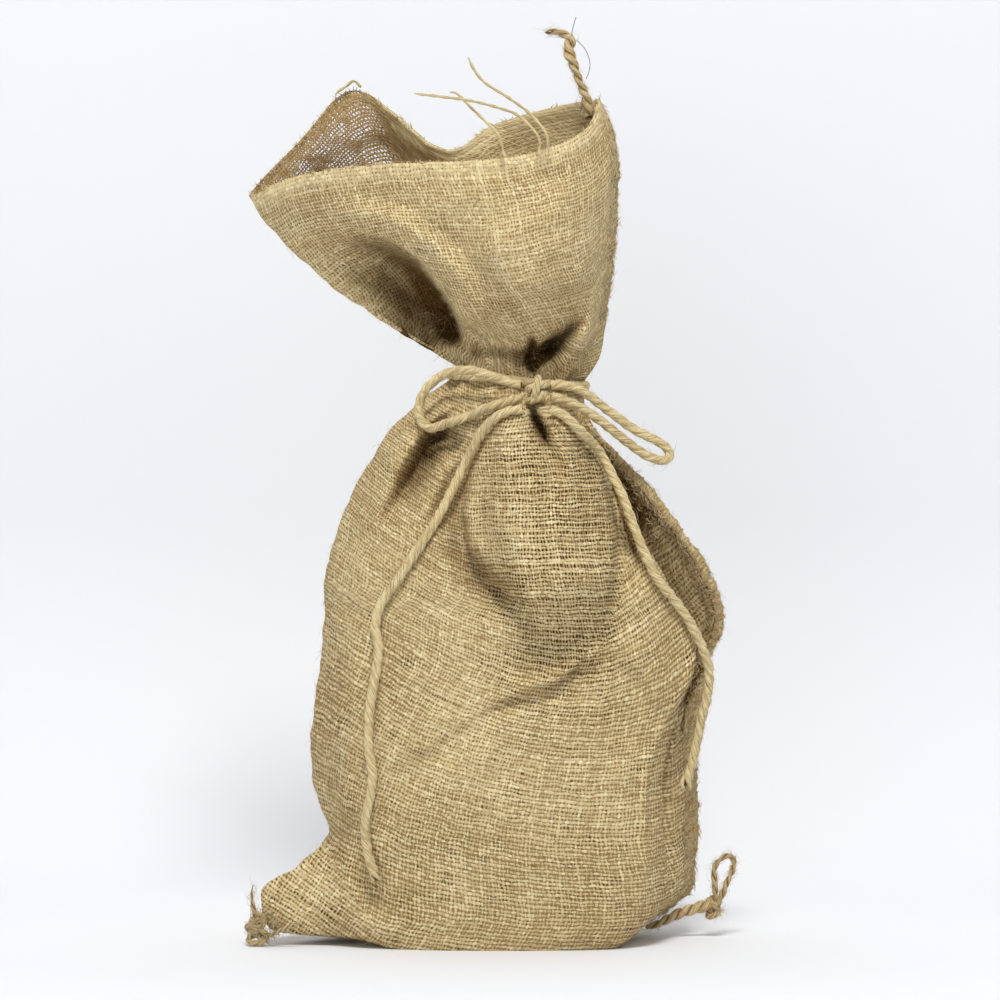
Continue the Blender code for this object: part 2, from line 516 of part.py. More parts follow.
def strand_profile(name, diameter, strands, guides):
    """Hidden outline of a cord laid up from a few strands, used as the curve's bevel."""
    data = bpy.data.curves.new(name, "CURVE")
    data.dimensions = "2D"
    count = strands * PROFILE_STEPS[strands]
    spline = data.splines.new("POLY")
    spline.points.add(count - 1)
    for i in range(count):
        angle = 2 * math.pi * i / count
        dip = 0.5 - 0.5 * math.cos(strands * angle)
        radius = 0.5 * diameter * (1.0 - STRAND_DEPTH * dip)
        spline.points[i].co = (radius * math.cos(angle) * MM, -radius * math.sin(angle) * MM, 0, 1)
    spline.use_cyclic_u = True
    profile = bpy.data.objects.new(name, data)
    profile.hide_render = True
    profile.display_type = "WIRE"
    guides.objects.link(profile)
    return profile


def twisted_cord(name, route, profile, pitch, material, collection, closed=False):
    """Cord along a route whose strands wind round it once in each pitch."""
    data = bpy.data.curves.new(name, "CURVE")
    data.dimensions = "3D"
    data.bevel_mode = "OBJECT"
    data.bevel_object = profile
    data.use_fill_caps = not closed
    spline = data.splines.new("POLY")
    spline.points.add(len(route) - 1)
    spline.use_cyclic_u = closed
    lengths = np.concatenate(([0.0], np.cumsum(np.linalg.norm(np.diff(route, axis=0), axis=1))))
    for point, place, length in zip(spline.points, route, lengths):
        point.co = (*(Vector(place) * MM), 1)
        point.tilt = 2 * math.pi * length / pitch
    data.materials.append(material)
    cord = bpy.data.objects.new(name, data)
    collection.objects.link(cord)
    return cord


def plain_yarn(name, route, diameter, material, collection):
    data = bpy.data.curves.new(name, "CURVE")
    data.dimensions = "3D"
    data.bevel_depth = 0.5 * diameter * MM
    data.bevel_resolution = 2
    data.use_fill_caps = True
    spline = data.splines.new("POLY")
    spline.points.add(len(route) - 1)
    for point, place in zip(spline.points, route):
        point.co = (*(Vector(place) * MM), 1)
    data.materials.append(material)
    yarn = bpy.data.objects.new(name, data)
    collection.objects.link(yarn)
    return yarn


def ridged_knot(knot, material, collection):
    """Small knot: a rounded lump whose surface shows the strands that cross it."""
    mesh = bmesh.new()
    bmesh.ops.create_uvsphere(mesh, u_segments=20, v_segments=12, radius=1.0)
    for vertex in mesh.verts:
        angle = math.atan2(vertex.co.y, vertex.co.x) + knot.lean * vertex.co.z
        side = math.hypot(vertex.co.x, vertex.co.y)
        dip = 0.5 - 0.5 * math.cos(knot.ridges * angle)
        vertex.co *= 1.0 - KNOT_RIDGE_DEPTH * side * dip
        vertex.co = Vector([k * size * MM for k, size in zip(vertex.co, knot.half_size)])
    data = bpy.data.meshes.new(knot.name)
    mesh.to_mesh(data)
    mesh.free()
    data.shade_smooth()
    data.materials.append(material)
    lump = bpy.data.objects.new(knot.name, data)
    lump.location = Vector(knot.centre) * MM
    collection.objects.link(lump)


def neck_route(surface, clearance, spacing):
    """Closed route round the gathered neck, a little clear of its pleats."""
    centre = Vector(NECK_CENTRE)
    reaches = []
    for i in range(NECK_STEPS):
        angle = 2 * math.pi * i / NECK_STEPS
        outward = Vector((math.cos(angle), math.sin(angle), 0.0))
        reach = 0.0
        for height in (-1, 0, 1):
            rise = height * clearance - NECK_LEAN * math.cos(angle)
            start = centre + outward * NECK_SEARCH + Vector((0.0, 0.0, rise))
            hit = surface.ray_cast(start * MM, -outward)[0]
            reach = max(reach, math.hypot(hit.x / MM - centre.x, hit.y / MM - centre.y))
        reaches.append(reach)
    reaches = np.array(reaches)
    widest = np.max([np.roll(reaches, k) for k in range(-4, 5)], axis=0)
    for _ in range(3):
        widest = np.maximum(widest, (np.roll(widest, 1) + widest + np.roll(widest, -1)) / 3)
    angles = np.linspace(0, 2 * math.pi, NECK_STEPS, endpoint=False)
    radius = widest + clearance
    points = np.column_stack((centre.x + radius * np.cos(angles), radius * np.sin(angles),
                              centre.z - NECK_LEAN * np.cos(angles)))
    length = np.linalg.norm(np.diff(points, axis=0, append=points[:1]), axis=1).sum()
    steps = round(length / spacing)
    picks = np.linspace(0, NECK_STEPS, steps, endpoint=False)
    doubled = np.vstack((points, points[:1]))
    return np.column_stack([np.interp(picks, np.arange(NECK_STEPS + 1), doubled[:, k])
                            for k in range(3)])


def build_twine(surface, collection, guides, material):
    """One length of twine tied in a bow: its solids part at the knot."""
    profile = strand_profile("twine_profile", TWINE_DIAMETER, 3, guides)
    clearance = 0.5 * TWINE_DIAMETER + GAP
    spacing = TWINE_SPACING * TWINE_DIAMETER
    wrap = neck_route(surface, clearance + GAP, spacing)
    length = np.linalg.norm(np.diff(wrap, axis=0, append=wrap[:1]), axis=1).sum()
    turns = max(1, round(length / TWINE_PITCH))
    twisted_cord("twine_wrap", wrap, profile, length / turns, material, collection, closed=True)
    ridged_knot(TWINE_KNOT, material, collection)
    routes = {"twine_loop_left": LOOP_LEFT, "twine_loop_right": LOOP_RIGHT,
              "twine_tail_left": TAIL_LEFT, "twine_tail_right": TAIL_RIGHT}
    for name, route in routes.items():
        lifted = lift_clear(smooth_route(route, spacing), surface, clearance)
        twisted_cord(name, lifted, profile, TWINE_PITCH, material, collection)


def build_seam_yarns(surface, collection, guides, material):
    """Ends of the yarn that oversews the right side and the bottom."""
    profile = strand_profile("seam_yarn_profile", SEAM_YARN_DIAMETER, 2, guides)
    spacing = SEAM_YARN_SPACING * SEAM_YARN_DIAMETER
    routes = {"seam_yarn_top": SEAM_END_TOP, "seam_yarn_left": SEAM_END_LEFT,
              "seam_yarn_right": SEAM_TAIL_RIGHT, "seam_loop_right": SEAM_LOOP_RIGHT}
    for name, route in routes.items():
        twisted_cord(name, smooth_route(route, spacing), profile, SEAM_YARN_PITCH,
                     material, collection)
    for knot in SEAM_KNOTS:
        ridged_knot(knot, material, collection)


def build_loose_yarns(collection, material):
    """Warp yarns drawn out of the mouth's edge."""
    names = ("loose_yarn_a", "loose_yarn_b", "loose_yarn_c", "loose_yarn_loop")
    for name, route in zip(names, LOOSE_YARNS):
        smooth = smooth_route(route, LOOSE_YARN_SPACING * LOOSE_YARN_DIAMETER)
        plain_yarn(name, smooth, LOOSE_YARN_DIAMETER, material, collection)


def main():
    clear_scene()
    parts = new_collection("hessian_sack")
    guides = new_collection("guides")
    hessian = new_material("hessian", HESSIAN)
    twine = new_material("twine", TWINE)
    seam_yarn = new_material("seam_yarn", SEAM_YARN)
    loose_yarn = new_material("loose_yarn", HESSIAN)
    surface = build_sack(parts, hessian)
    build_twine(surface, parts, guides, twine)
    build_seam_yarns(surface, parts, guides, seam_yarn)
    build_loose_yarns(parts, loose_yarn)


main()
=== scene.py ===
"""Looks of the small hessian sack: a thin woven sheet gathered at the neck by jute twine.

Sizes and places are in millimetres unless a name says otherwise, the front of the sack
faces -Y, and +Z is up.
"""

import math
from collections import namedtuple

import bpy
import numpy as np
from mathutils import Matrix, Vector
from mathutils.bvhtree import BVHTree


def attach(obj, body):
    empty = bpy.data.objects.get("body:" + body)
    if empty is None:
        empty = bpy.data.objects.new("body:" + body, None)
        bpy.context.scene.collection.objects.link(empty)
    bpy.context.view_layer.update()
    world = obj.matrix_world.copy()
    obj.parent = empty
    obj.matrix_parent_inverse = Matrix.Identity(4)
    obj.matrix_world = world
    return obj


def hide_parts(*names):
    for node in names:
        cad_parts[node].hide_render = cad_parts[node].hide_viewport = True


MM = 0.001
TURN = 2.0 * math.pi

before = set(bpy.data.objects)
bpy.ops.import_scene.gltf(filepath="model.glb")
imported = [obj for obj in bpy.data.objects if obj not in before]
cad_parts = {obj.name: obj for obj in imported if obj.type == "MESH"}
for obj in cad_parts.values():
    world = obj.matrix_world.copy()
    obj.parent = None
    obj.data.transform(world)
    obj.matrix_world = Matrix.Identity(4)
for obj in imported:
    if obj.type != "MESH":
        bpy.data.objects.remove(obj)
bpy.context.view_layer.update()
random = np.random.default_rng(11)

# ---- Sizes, in millimetres ----
CLOTH_THICKNESS = 1.6
HEM_DEPTH = 7.0
HEM_LIFT = 0.5
ROW_STEP = 1.6             # spacing of the sheet's rings up the sack
SEAM_RIDGE = 3.0
WARP_PITCH = 1.35
WEFT_PITCH = 1.6
TWINE_DIAMETER = 4.0
TWINE_PITCH = 15.0
SEAM_YARN_DIAMETER = 3.2
SEAM_YARN_PITCH = 10.0
LOOSE_YARN_DIAMETER = 1.3
GAP = 0.3
WRAP_BEDDING = 0.9         # the twine round the neck beds into the cloth this far off it
WEAVE_FOLLOWS = 0.55       # share of the folds that the weave is laid out over
WARP_TURN = 0.5            # share of the rows' turn that the warps follow

# The ten points that a section of the sack passes through, in order round it, and the
# number of mesh steps from each to the next
SECTION_POINTS = ("left", "wall_left", "front_left", "front_right", "wall_right",
                  "right", "right_back", "back_right", "back_left", "left_back")
FINENESS = 4
STEPS = tuple(FINENESS * s for s in (5, 5, 18, 5, 4, 5, 4, 4, 4, 4))
FRONT_STEPS = sum(STEPS[:5])
PLACES = np.concatenate(([0], np.cumsum(STEPS)))

Body = namedtuple("Body", "z left wall_left front_left front_right wall_right right "
                          "left_back back_y")
BODY_SECTIONS = (
    Body(0, (-51, -4), (-49, -26), (-43, -43), (44, -43), (50, -26), (52, 0), (-50, 22), 43),
    Body(6, (-91, -30), (-67, -36), (-48, -46), (49, -46), (56, -27), (58, 0), (-65, -2), 45),
    Body(13, (-95, -31), (-71, -36), (-49, -47), (54, -46), (63, -24), (67, 0), (-72, -6), 46),
    Body(21, (-95.5, -28), (-70, -35), (-50, -47), (56, -46), (69, -20), (75, 0), (-74, -6), 47),
    Body(32, (-80, -20), (-67, -31), (-51, -47), (56, -46), (70, -19), (76, 0), (-70, 2), 47),
    Body(44, (-69, -8), (-64, -27), (-52, -48), (56, -45), (69, -19), (77, 0), (-65, 16), 48),
    Body(62, (-75, 0), (-68, -26), (-52, -49), (57, -44), (69, -18), (77, 0), (-69, 24), 48),
    Body(80, (-76, 0), (-69, -26), (-52, -49), (61, -42), (71, -16), (77, 0), (-70, 24), 48),
    Body(98, (-74, 0), (-68, -26), (-52, -48), (69, -38), (75, -12), (79.5, -1), (-69, 24), 47),
    Body(114, (-72, 0), (-66, -25), (-51, -47), (76, -32), (77, -9), (83, -5), (-67, 24), 46),
    Body(130, (-71, 0), (-65, -24), (-50, -45), (72, -34), (73, -7), (88, -10), (-66, 23), 44),
    Body(148, (-70, 0), (-63, -22), (-47, -42), (62, -37), (63, -8), (82, -13), (-64, 21), 41),
    Body(166, (-65, 0), (-57, -19), (-42, -38), (53, -35), (54, -11), (70, -14), (-57, 18), 37),
    Body(184, (-57, 0), (-49, -16), (-34, -32), (44, -30), (46, -12), (55, -12), (-49, 15), 31),
    Body(202, (-46, 0), (-38, -13), (-24, -25), (32, -23), (35.5, -9), (37, -5), (-38, 12), 24),
    Body(216, (-30, 0), (-23, -11), (-9, -18), (24, -17), (28, -9), (30, 0), (-23, 10), 18),
)

Collar = namedtuple("Collar", SECTION_POINTS)
COLLAR_SECTIONS = (
    Collar((-15, 0, 229), (-11, -9, 228), (-1, -14, 226), (17, -14, 225), (26, -8, 224),
           (29, 0, 224), (26, 8, 225), (12, 14, 226), (-3, 13, 228), (-11, 8, 229)),
    Collar((-23, 2, 235), (-15, -7, 235), (-2, -17, 236), (18, -18, 236), (33, -11, 236),
           (37, 0, 238), (30, 13, 240), (8, 19, 243), (-8, 20, 242), (-18, 14, 239)),
    Collar((-44, 3, 247), (-33, 0, 249), (-17, -14, 252), (15, -31, 256), (36, -19, 257),
           (41, 0, 260), (28, 18, 263), (1, 24, 266), (-20, 27, 261), (-35, 20, 254)),
    Collar((-65, 3, 261), (-54, -1, 266), (-33, -18, 273), (12, -37, 278), (37, -23, 279),
           (43, 0, 283), (24, 22, 286), (-8, 25, 287), (-37, 31, 283), (-55, 23, 273)),
    Collar((-84, 1, 277), (-76, -9, 285), (-44, -28, 294), (9, -37, 299), (39, -23, 304),
           (45, -1, 309), (13, 24, 309), (-15, 21, 307), (-47, 31, 312), (-74, 22, 300)),
    Collar((-97, 0, 291), (-84, -14, 299), (-50, -28, 304), (8, -35, 309), (37, -22, 316),
           (43, -1, 325), (4, 24, 321), (-19, 16, 314), (-53, 28, 330), (-77, 18, 316)),
    Collar((-101, 0, 299), (-85, -15, 306), (-52, -28, 311), (8, -34, 315), (34, -22, 325),
           (37, -1, 336.5), (-2, 24, 328.5), (-21, 14, 318), (-60, 28, 342.5), (-79, 18, 324)),
)

# Folds in the front of the cloth: a ridge towards the front (+) or a trough (-) along a
# line of x, z points. Its half widths are those to the left and right of the line's
# direction, and it fades in and out over the given shares of its length.
Fold = namedtuple("Fold", "name left right height fade_in fade_out line")
FOLDS = (
    Fold("drape from the knot", 32, 25, 19, 0.1, 0.26,
         ((14, 222), (13, 190), (15, 166), (20, 148), (27, 120))),
    Fold("valley left of the drape", 5, 12, -12.5, 0.25, 0.45,
         ((-8, 210), (-14, 190), (-17, 172), (-14, 158), (-6, 147), (8, 137), (21, 128),
          (32, 121), (37, 114))),
    Fold("valley right of the drape", 12, 4, -17.5, 0.1, 0.6,
         ((25, 217), (34, 206), (41, 194), (45.5, 180), (47.5, 165), (47, 148), (44, 137),
          (39, 122))),
    Fold("lip at the end of the drape", 5, 9, 4.5, 0.3, 0.4,
         ((39, 128), (37, 117), (29, 108), (14, 103), (0, 98))),
    Fold("crease under the lip", 7, 2.2, -6, 0.2, 0.5,
         ((38, 120), (34, 113), (26, 107), (16, 103), (2, 98), (-14, 90))),
    Fold("faint crease", 10, 7, -2.5, 0.4, 0.4, ((6, 100), (-22, 80), (-52, 62))),
    Fold("fold inside the drape", 5, 8, -7, 0.1, 0.6,
         ((11, 214), (16, 205), (22, 192), (25, 174))),
    Fold("pleat under the knot", 3, 4.5, -12, 0.1, 0.5,
         ((12, 218), (14, 211), (18, 204), (21, 196))),
    Fold("puff right of the pleat", 6, 5, 5, 0.2, 0.4, ((19, 216), (27, 207), (34, 196))),
    Fold("pleat by the right tail", 4, 3, -12, 0.1, 0.4, ((22, 216), (27, 211), (34, 204))),
    Fold("shoulder ridge", 9, 9, 6, 0.3, 0.3, ((-32, 204), (-50, 180), (-66, 158))),
    Fold("shoulder hollow", 13, 8, -20, 0.15, 0.6,
         ((-17, 209), (-28, 199), (-36, 186), (-45, 160))),
    Fold("puff in the left loop", 5, 5, 5, 0.2, 0.3, ((-10, 222), (-19, 218), (-27, 212))),
    Fold("fold at the left tail", 9, 4, -4, 0.3, 0.4, ((-20, 196), (-24, 178), (-34, 158))),
    Fold("lower left fold", 7, 9, -4.5, 0.3, 0.2, ((-60, 60), (-55, 40), (-50, 24), (-47, 8))),
    Fold("left wall fold", 9, 9, 3, 0.3, 0.3, ((-62, 140), (-62, 96), (-66, 56))),
    Fold("mouth hollow", 2.8, 30, -28, 0.6, 0.16,
         ((-76, 280), (-60, 280), (-45, 277), (-32, 268), (-24, 257), (-19, 246), (-17, 236))),
    Fold("bulge's edge", 14, 2.8, 9, 0.5, 0.15,
         ((-76, 287), (-59, 287), (-43, 283), (-29, 273), (-20, 263), (-15, 252), (-12, 242))),
    Fold("front bulge", 30, 30, 9, 0.2, 0.3, ((20, 256), (16, 278), (4, 296))),
    Fold("under the bulge", 4, 10, -18, 0.75, 0.35,
         ((-17, 235), (-6, 234), (4, 233), (14, 234), (23, 240), (32, 247))),
    Fold("bulge's lower edge", 2.5, 6, -6, 0.2, 0.3,
         ((-15, 238), (-4, 237.5), (8, 237), (17, 239))),
    Fold("groove above the right roll", 4, 5, -9, 0.3, 0.3,
         ((12, 235), (20, 240), (30, 247), (36, 252))),
    Fold("right roll", 8, 7, 7, 0.2, 0.3, ((17, 229), (28, 237), (44, 248))),
    Fold("crevice above the knot", 3, 3.5, -10, 0.2, 0.2, ((14, 243), (12, 236), (13, 226))),
    Fold("slack over the right side", 14, 9, 5, 0.4, 0.4, ((44, 128), (60, 112), (66, 92))),
    Fold("dip beside the slack", 8, 12, -3.5, 0.4, 0.4, ((40, 108), (50, 92), (52, 70))),
)
# Lines of painted shade, in the same form, where the cloth lies too tight for light to reach it
# and beside the right tail: the height is the share of the light that the painted shade takes away
PAINTED_SHADE_LINES = (
    Fold("along the bulge's edge", 1.0, 10, 0.32, 0.35, 0.1,
         ((-84, 279), (-72, 283.5), (-58, 284.5), (-44, 281), (-33, 273.5), (-26.5, 263),
          (-21, 254), (-17, 244), (-15, 237))),
    Fold("under the bulge's lower edge", 0.8, 4.5, 0.2, 0.2, 0.2,
         ((-15, 238), (-4, 237.5), (8, 237), (19, 238.5))),
    Fold("above the knot", 4.5, 4.5, 0.5, 0.2, 0.2, ((22, 240), (15, 234), (10, 229))),
    Fold("under the slack", 7, 1, 0.5, 0.1, 0.5, ((80, 113), (76, 104), (70, 93), (66, 86))),
    Fold("between the tail and the right flap", 1.5, 7, 0.4, 0.1, 0.4,
         ((47, 186), (55, 178), (66, 168))),
    Fold("floor of the hollow", 12, 12, 0.08, 0.3, 0.3,
         ((-66, 277), (-47, 269), (-34, 258), (-26, 248))),
    Fold("crease under the lip", 1.2, 1.2, 0.34, 0.2, 0.5,
         ((35.5, 128), (33.5, 115.5), (25.5, 107.5), (14, 102))),
    Fold("along the right tail", 1.5, 1.5, 0.3, 0.2, 0.3,
         ((42, 197), (47, 178), (55, 153), (60, 144))),
)
RIDGE_FULLNESS = 1.5       # how much fuller a ridge is than a plain bell shape
MOUTH_ROOM = 10.0          # the folds of the mouth's front stop this far short of its back

# Folds that run up the wall: the place on the section counts its points from 0, left,
# to 10, left again, and the height is along the wall's outward direction
WallFold = namedtuple("WallFold", "name half_width height line")
WALL_FOLDS = (
    WallFold("front right edge", 4, 1.6, ((3.05, 20), (3.0, 70), (3.0, 130))),
    WallFold("recess behind it", 7, -5, ((3.8, 36), (3.6, 90), (3.5, 128), (3.5, 160), (3.6, 200))),
    WallFold("recess under the slack", 4.5, -6, ((4.3, 84), (4.25, 96), (4.2, 108), (4.15, 118))),
    WallFold("strip by the seam", 3.2, -1.6, ((4.62, 20), (4.62, 90), (4.6, 150), (4.6, 196))),
    WallFold("back gather a", 9, 4, ((7.1, 214), (6.9, 170), (6.7, 120))),
    WallFold("back gather b", 10, -5, ((7.5, 216), (7.45, 170), (7.3, 130))),
    WallFold("back gather c", 11, 5, ((8.0, 216), (8.1, 180), (8.3, 140))),
    WallFold("back gather d", 9, -4, ((8.4, 214), (8.6, 180), (8.8, 150))),
    WallFold("left gather", 8, 3, ((9.3, 212), (9.2, 170), (9.3, 130))),
    WallFold("back slack", 22, -3, ((7.2, 120), (7.6, 80), (7.4, 36))),
    WallFold("right back edge", 7, 2, ((6.5, 150), (6.6, 90), (6.5, 30))),
)

TIE_HEIGHT = 225.0
TIE_GRIP = 18.0            # how far above and below the tie it flattens the folds
PLEAT_COUNT = 11
PLEAT_DEPTH = 1.6
PLEAT_REACH = 34.0         # how far above and below the tie the pleats run
NECK_CENTRE = (8.0, 0.0, 225.0)
NECK_LEAN = 2.2            # how much lower the tie is on the right than at the middle

# Slope of the weft rows on the front, in degrees down to the right, at heights z and
# across the sack at the x places below
SLOPE_PLACES = (-75, -50, -25, 5, 30, 50, 80)
ROW_SLOPES = (
    (5, (12, 14, 8, 5, 2, 0, -12)),
    (45, (12, 22, 15, 10, 5, 0, -12)),
    (85, (12, 26, 20, 14, 5, -8, -16)),
    (120, (14, 30, 28, 18, 0, -22, -34)),
    (155, (22, 34, 30, 10, -12, -34, -45)),
    (195, (34, 38, 30, 6, -18, -44, -52)),
    (225, (38, 38, 26, 4, -18, -44, -52)),
)
# Left and right edges of the drape, as z, x points
DRAPE_LEFT = ((116, 37), (121, 33), (129, 21), (138, 8), (148, -6), (158, -14.5), (172, -17),
              (190, -14), (210, -9), (232, -4))
DRAPE_RIGHT = ((116, 40), (132, 46), (150, 50), (170, 51), (188, 47.5), (204, 39), (216, 27),
               (232, 20))
DRAPE_MIDDLE = 22.0        # x of the middle of its rows, which sag by
LEVEL_SAG = 0.0012         # this times the square of the distance from there
EAR_TURN = math.radians(32.0)       # slope of the rows on the ear at the lower left
EAR_FOLD = (-70.0, 40.0, 0.65)      # x and z where the ear's fold starts, and its lean
BESIDE_NECK = (28.0, 192.0)         # x and z past which the right side's weave runs as its wall
SIDE_WEAVE_SPREAD = 0.44   # share of the side walls' width that the weave leaves out
LEAN_REACH = 30.0          # how far past the left edge the lean of the rows dies out
WEAVE_SQUEEZE = 0.3        # most that the lean may squeeze or stretch the weave
COLLAR_WEAVE = 2000.0      # the weave above the tie is laid out this far from the body's

# Routes of the twine and yarns
KNOT_CENTRE = (14.4, -28.0, 221.0)
# Turns of the knots: half width, half depth, rise above the centre, tilt and lean in radians
KNOT_TURNS = ((3.0, 2.6, -2.0, 0.25, 0.5), (3.0, 2.8, 1.8, -0.2, 0.3), (4.4, 3.6, 1.0, 0.0, 1.38))
LEFT_KNOT_TURNS = ((3.4, 3.2, -3.6, 0.5, 0.2), (4.2, 3.6, -0.8, -0.5, -0.5),
                   (3.6, 3.2, 2.0, 0.6, 0.7), (2.2, 2.4, 4.2, 0.2, 0.4), (1.6, 1.8, 0.0, 1.4, 0.3))
RIGHT_KNOT_TURNS = ((2.6, 2.2, -1.9, 0.5, 0.6), (3.0, 2.4, 0.4, -0.4, -0.9),
                    (2.3, 2.0, 2.6, 0.7, 0.3), (1.2, 1.6, 0.0, 1.4, 0.5))
LOOP_LEFT = ((8.4, -28, 223.8), (4.8, -27.5, 224.4), (-0.8, -26.5, 226.4), (-7.2, -25, 228.4),
             (-13.6, -23, 229.6), (-19.2, -21, 228.8), (-24, -19, 226.8), (-28, -18, 223.6),
             (-30.8, -17, 219.6), (-32.4, -16, 215.6), (-32.4, -16, 211.6), (-30.4, -17, 207.6),
             (-26.8, -18, 206.2), (-21.6, -19, 208), (-15.2, -20, 210.2), (-9.6, -21.5, 212.4),
             (-4.8, -23, 214.6), (0.4, -25, 216.6), (8.4, -27, 218.6))
LOOP_RIGHT = ((20.2, -27.5, 223.6), (24, -27.5, 223.8), (28.4, -26.5, 223), (32.8, -25, 221.2),
              (37.6, -24, 217.8), (42.4, -23, 214), (47.2, -22.5, 210.4), (52, -22, 206.8),
              (56.8, -21.5, 204), (61.2, -21, 202), (65.2, -20.5, 199.6), (67.8, -20, 196.4),
              (66.2, -20, 193.4), (62, -20.5, 194), (57.6, -21, 196), (53, -21.5, 199),
              (48, -22.5, 203), (43.4, -23.5, 206.8), (38.8, -25.5, 210.4), (34, -27, 213.6),
              (29.2, -28.5, 216.2), (24.4, -29.5, 218.2), (20.4, -29.5, 219.2))
TAIL_LEFT = ((8.8, -31, 214.4), (3.2, -30.5, 213.6), (-0.8, -29.5, 211.8), (-3.8, -28.5, 209.4),
             (-6.4, -28, 206.2), (-8.4, -27.5, 203), (-11, -28, 197.8), (-15.6, -30, 189.2),
             (-20.4, -33, 179.2), (-26, -37, 169.2), (-32.8, -40, 158.8), (-40.8, -42, 146.6),
             (-47.2, -44, 137.2), (-49.2, -46, 128.6), (-48, -47, 119.6), (-49.6, -49, 107.2),
             (-51.4, -50, 96), (-51.8, -50, 81.6), (-50.4, -50, 68), (-53.2, -49, 51.6),
             (-52.6, -49, 40.8), (-50.4, -49, 32.8), (-48.8, -49, 28))
TAIL_RIGHT = ((20.2, -25.5, 214.4), (24, -25, 212.8), (27.5, -25, 210.2), (30.8, -25.5, 207),
              (34.4, -26.5, 203.4), (37.4, -28, 200), (40.4, -29, 196), (44.6, -33, 188),
              (49, -36, 179.2), (52.6, -38, 169.2), (56.6, -40, 159), (62, -40, 147.7),
              (70, -38, 137.6), (76, -36, 128.6), (80.4, -34, 119.6), (83.2, -32, 110.8),
              (82.8, -30, 100.6), (80.4, -29, 90), (79, -28, 82.8), (76.6, -27, 72),
              (73.9, -26, 62.4))
SEAM_END_TOP = ((35.8, -0.5, 331), (35.4, -1, 334.6), (34.8, -1, 338.2), (33.6, -1, 341.2),
                (31.8, -1, 345.6), (30.2, -1, 350.5), (28.6, -0.5, 354.5), (27.5, 0, 358.5),
                (28.4, 0, 362), (25.6, 0.5, 364.2), (21.7, 1, 365.3), (18.1, 1, 364.9))
SEAM_END_LEFT = ((-96.6, -33, 9), (-97.8, -33.5, 13.2), (-98.6, -34, 16.6), (-99, -34, 20.6),
                 (-98.5, -34, 24.4))
SEAM_KNOT_LEFT = (-97, -33, 6.6)
SEAM_KNOT_RIGHT = (86.2, -4, 11.8)
SEAM_TAIL_RIGHT = ((59, -7, 4.2), (63.6, -6.5, 5.6), (69.4, -6, 8.2), (74.8, -6, 10.6),
                   (81.2, -5, 12.4), (85, -4, 13))
SEAM_LOOP_RIGHT = ((86, -4, 12.5), (87, -4, 18.2), (86.5, -4, 23.4), (86.6, -4, 27.8),
                   (88.6, -3, 31), (92.3, -2, 32.9), (94.7, -2, 30.6), (93.8, -3, 26.6),
                   (92, -4, 22.8), (90.4, -4, 18.4), (87.6, -4, 13))
SEAM_END_UNDER = ((-92, -36, 4.6), (-88, -38, 6.4), (-84, -39, 8.4), (-80, -40, 9.6))
DARK_THREAD = (((30.6, -1, 371), (29.4, -1, 367), (28.8, -1.5, 363), (29.6, -2.5, 359)),
               ((31.0, -2, 361.5), (34.2, -2.4, 358), (36, -2, 353.4), (35.9, -1.5, 349.6),
                (34.6, -1, 346)))
LOOSE_YARNS = (
    ((15.6, -38, 314.6), (15.2, -37.5, 322), (8, -36, 330), (0, -37, 333.4), (-12, -38, 336.4),
     (-24, -38, 338), (-34, -38, 339.2)),
    ((18.4, -37.5, 314.4), (18.6, -37, 322.4), (12.6, -35, 330.6), (4, -34, 337.2),
     (-6, -34, 343.6), (-10.4, -34, 349), (-12.6, -34, 353.6)),
    ((2, -39, 314), (-0.6, -38, 322.8), (-6, -36, 328.4), (-11.6, -35, 333.8),
     (-17, -34, 339.2), (-19.8, -34, 339.8)),
    ((-56.6, 27, 343.8), (-59.6, 26, 346.2), (-62.6, 25, 344), (-66.4, 24, 341.4),
     (-66.8, 23, 339)),
)


# ---- Camera, light and floor: places and sizes in metres ----

CAMERA_TARGET = Vector((0.0, -0.02, 0.1775))
CAMERA_DISTANCE = 2.2
CAMERA_ELEVATION = math.radians(2.5)
VIEW_WIDTH = 0.4           # what the frame spans at the target
SENSOR_WIDTH = 36.0        # in millimetres, as the lens is
PAPER_HALF_WIDTH = 6.0
PAPER_FRONT = -8.0
PAPER_WALL = 0.30
PAPER_BEND = 0.16          # radius of the turn from floor to wall
PAPER_TOP = 4.0
BEND_STEPS = 16


def link_object(name, data):
    piece = bpy.data.objects.new(name, data)
    bpy.context.scene.collection.objects.link(piece)
    return piece


def make_camera():
    data = bpy.data.cameras.new("camera")
    data.sensor_width = SENSOR_WIDTH
    data.lens = SENSOR_WIDTH * CAMERA_DISTANCE / VIEW_WIDTH
    data.clip_end = 50.0
    camera = link_object("camera", data)
    away = Vector((0.0, -math.cos(CAMERA_ELEVATION), math.sin(CAMERA_ELEVATION)))
    camera.location = CAMERA_TARGET + away * CAMERA_DISTANCE
    camera.rotation_euler = away.to_track_quat("Z", "Y").to_euler()
    bpy.context.scene.camera = camera


def make_light(name, place, side, power, colour=(1.0, 1.0, 1.0)):
    """Square area light that faces the sack."""
    data = bpy.data.lights.new(name, "AREA")
    data.shape = "RECTANGLE"
    data.size, data.size_y = side, side
    data.energy = power
    data.color = colour
    light = link_object(name, data)
    light.location = place
    light.rotation_euler = (Vector(place) - CAMERA_TARGET).to_track_quat("Z", "Y").to_euler()


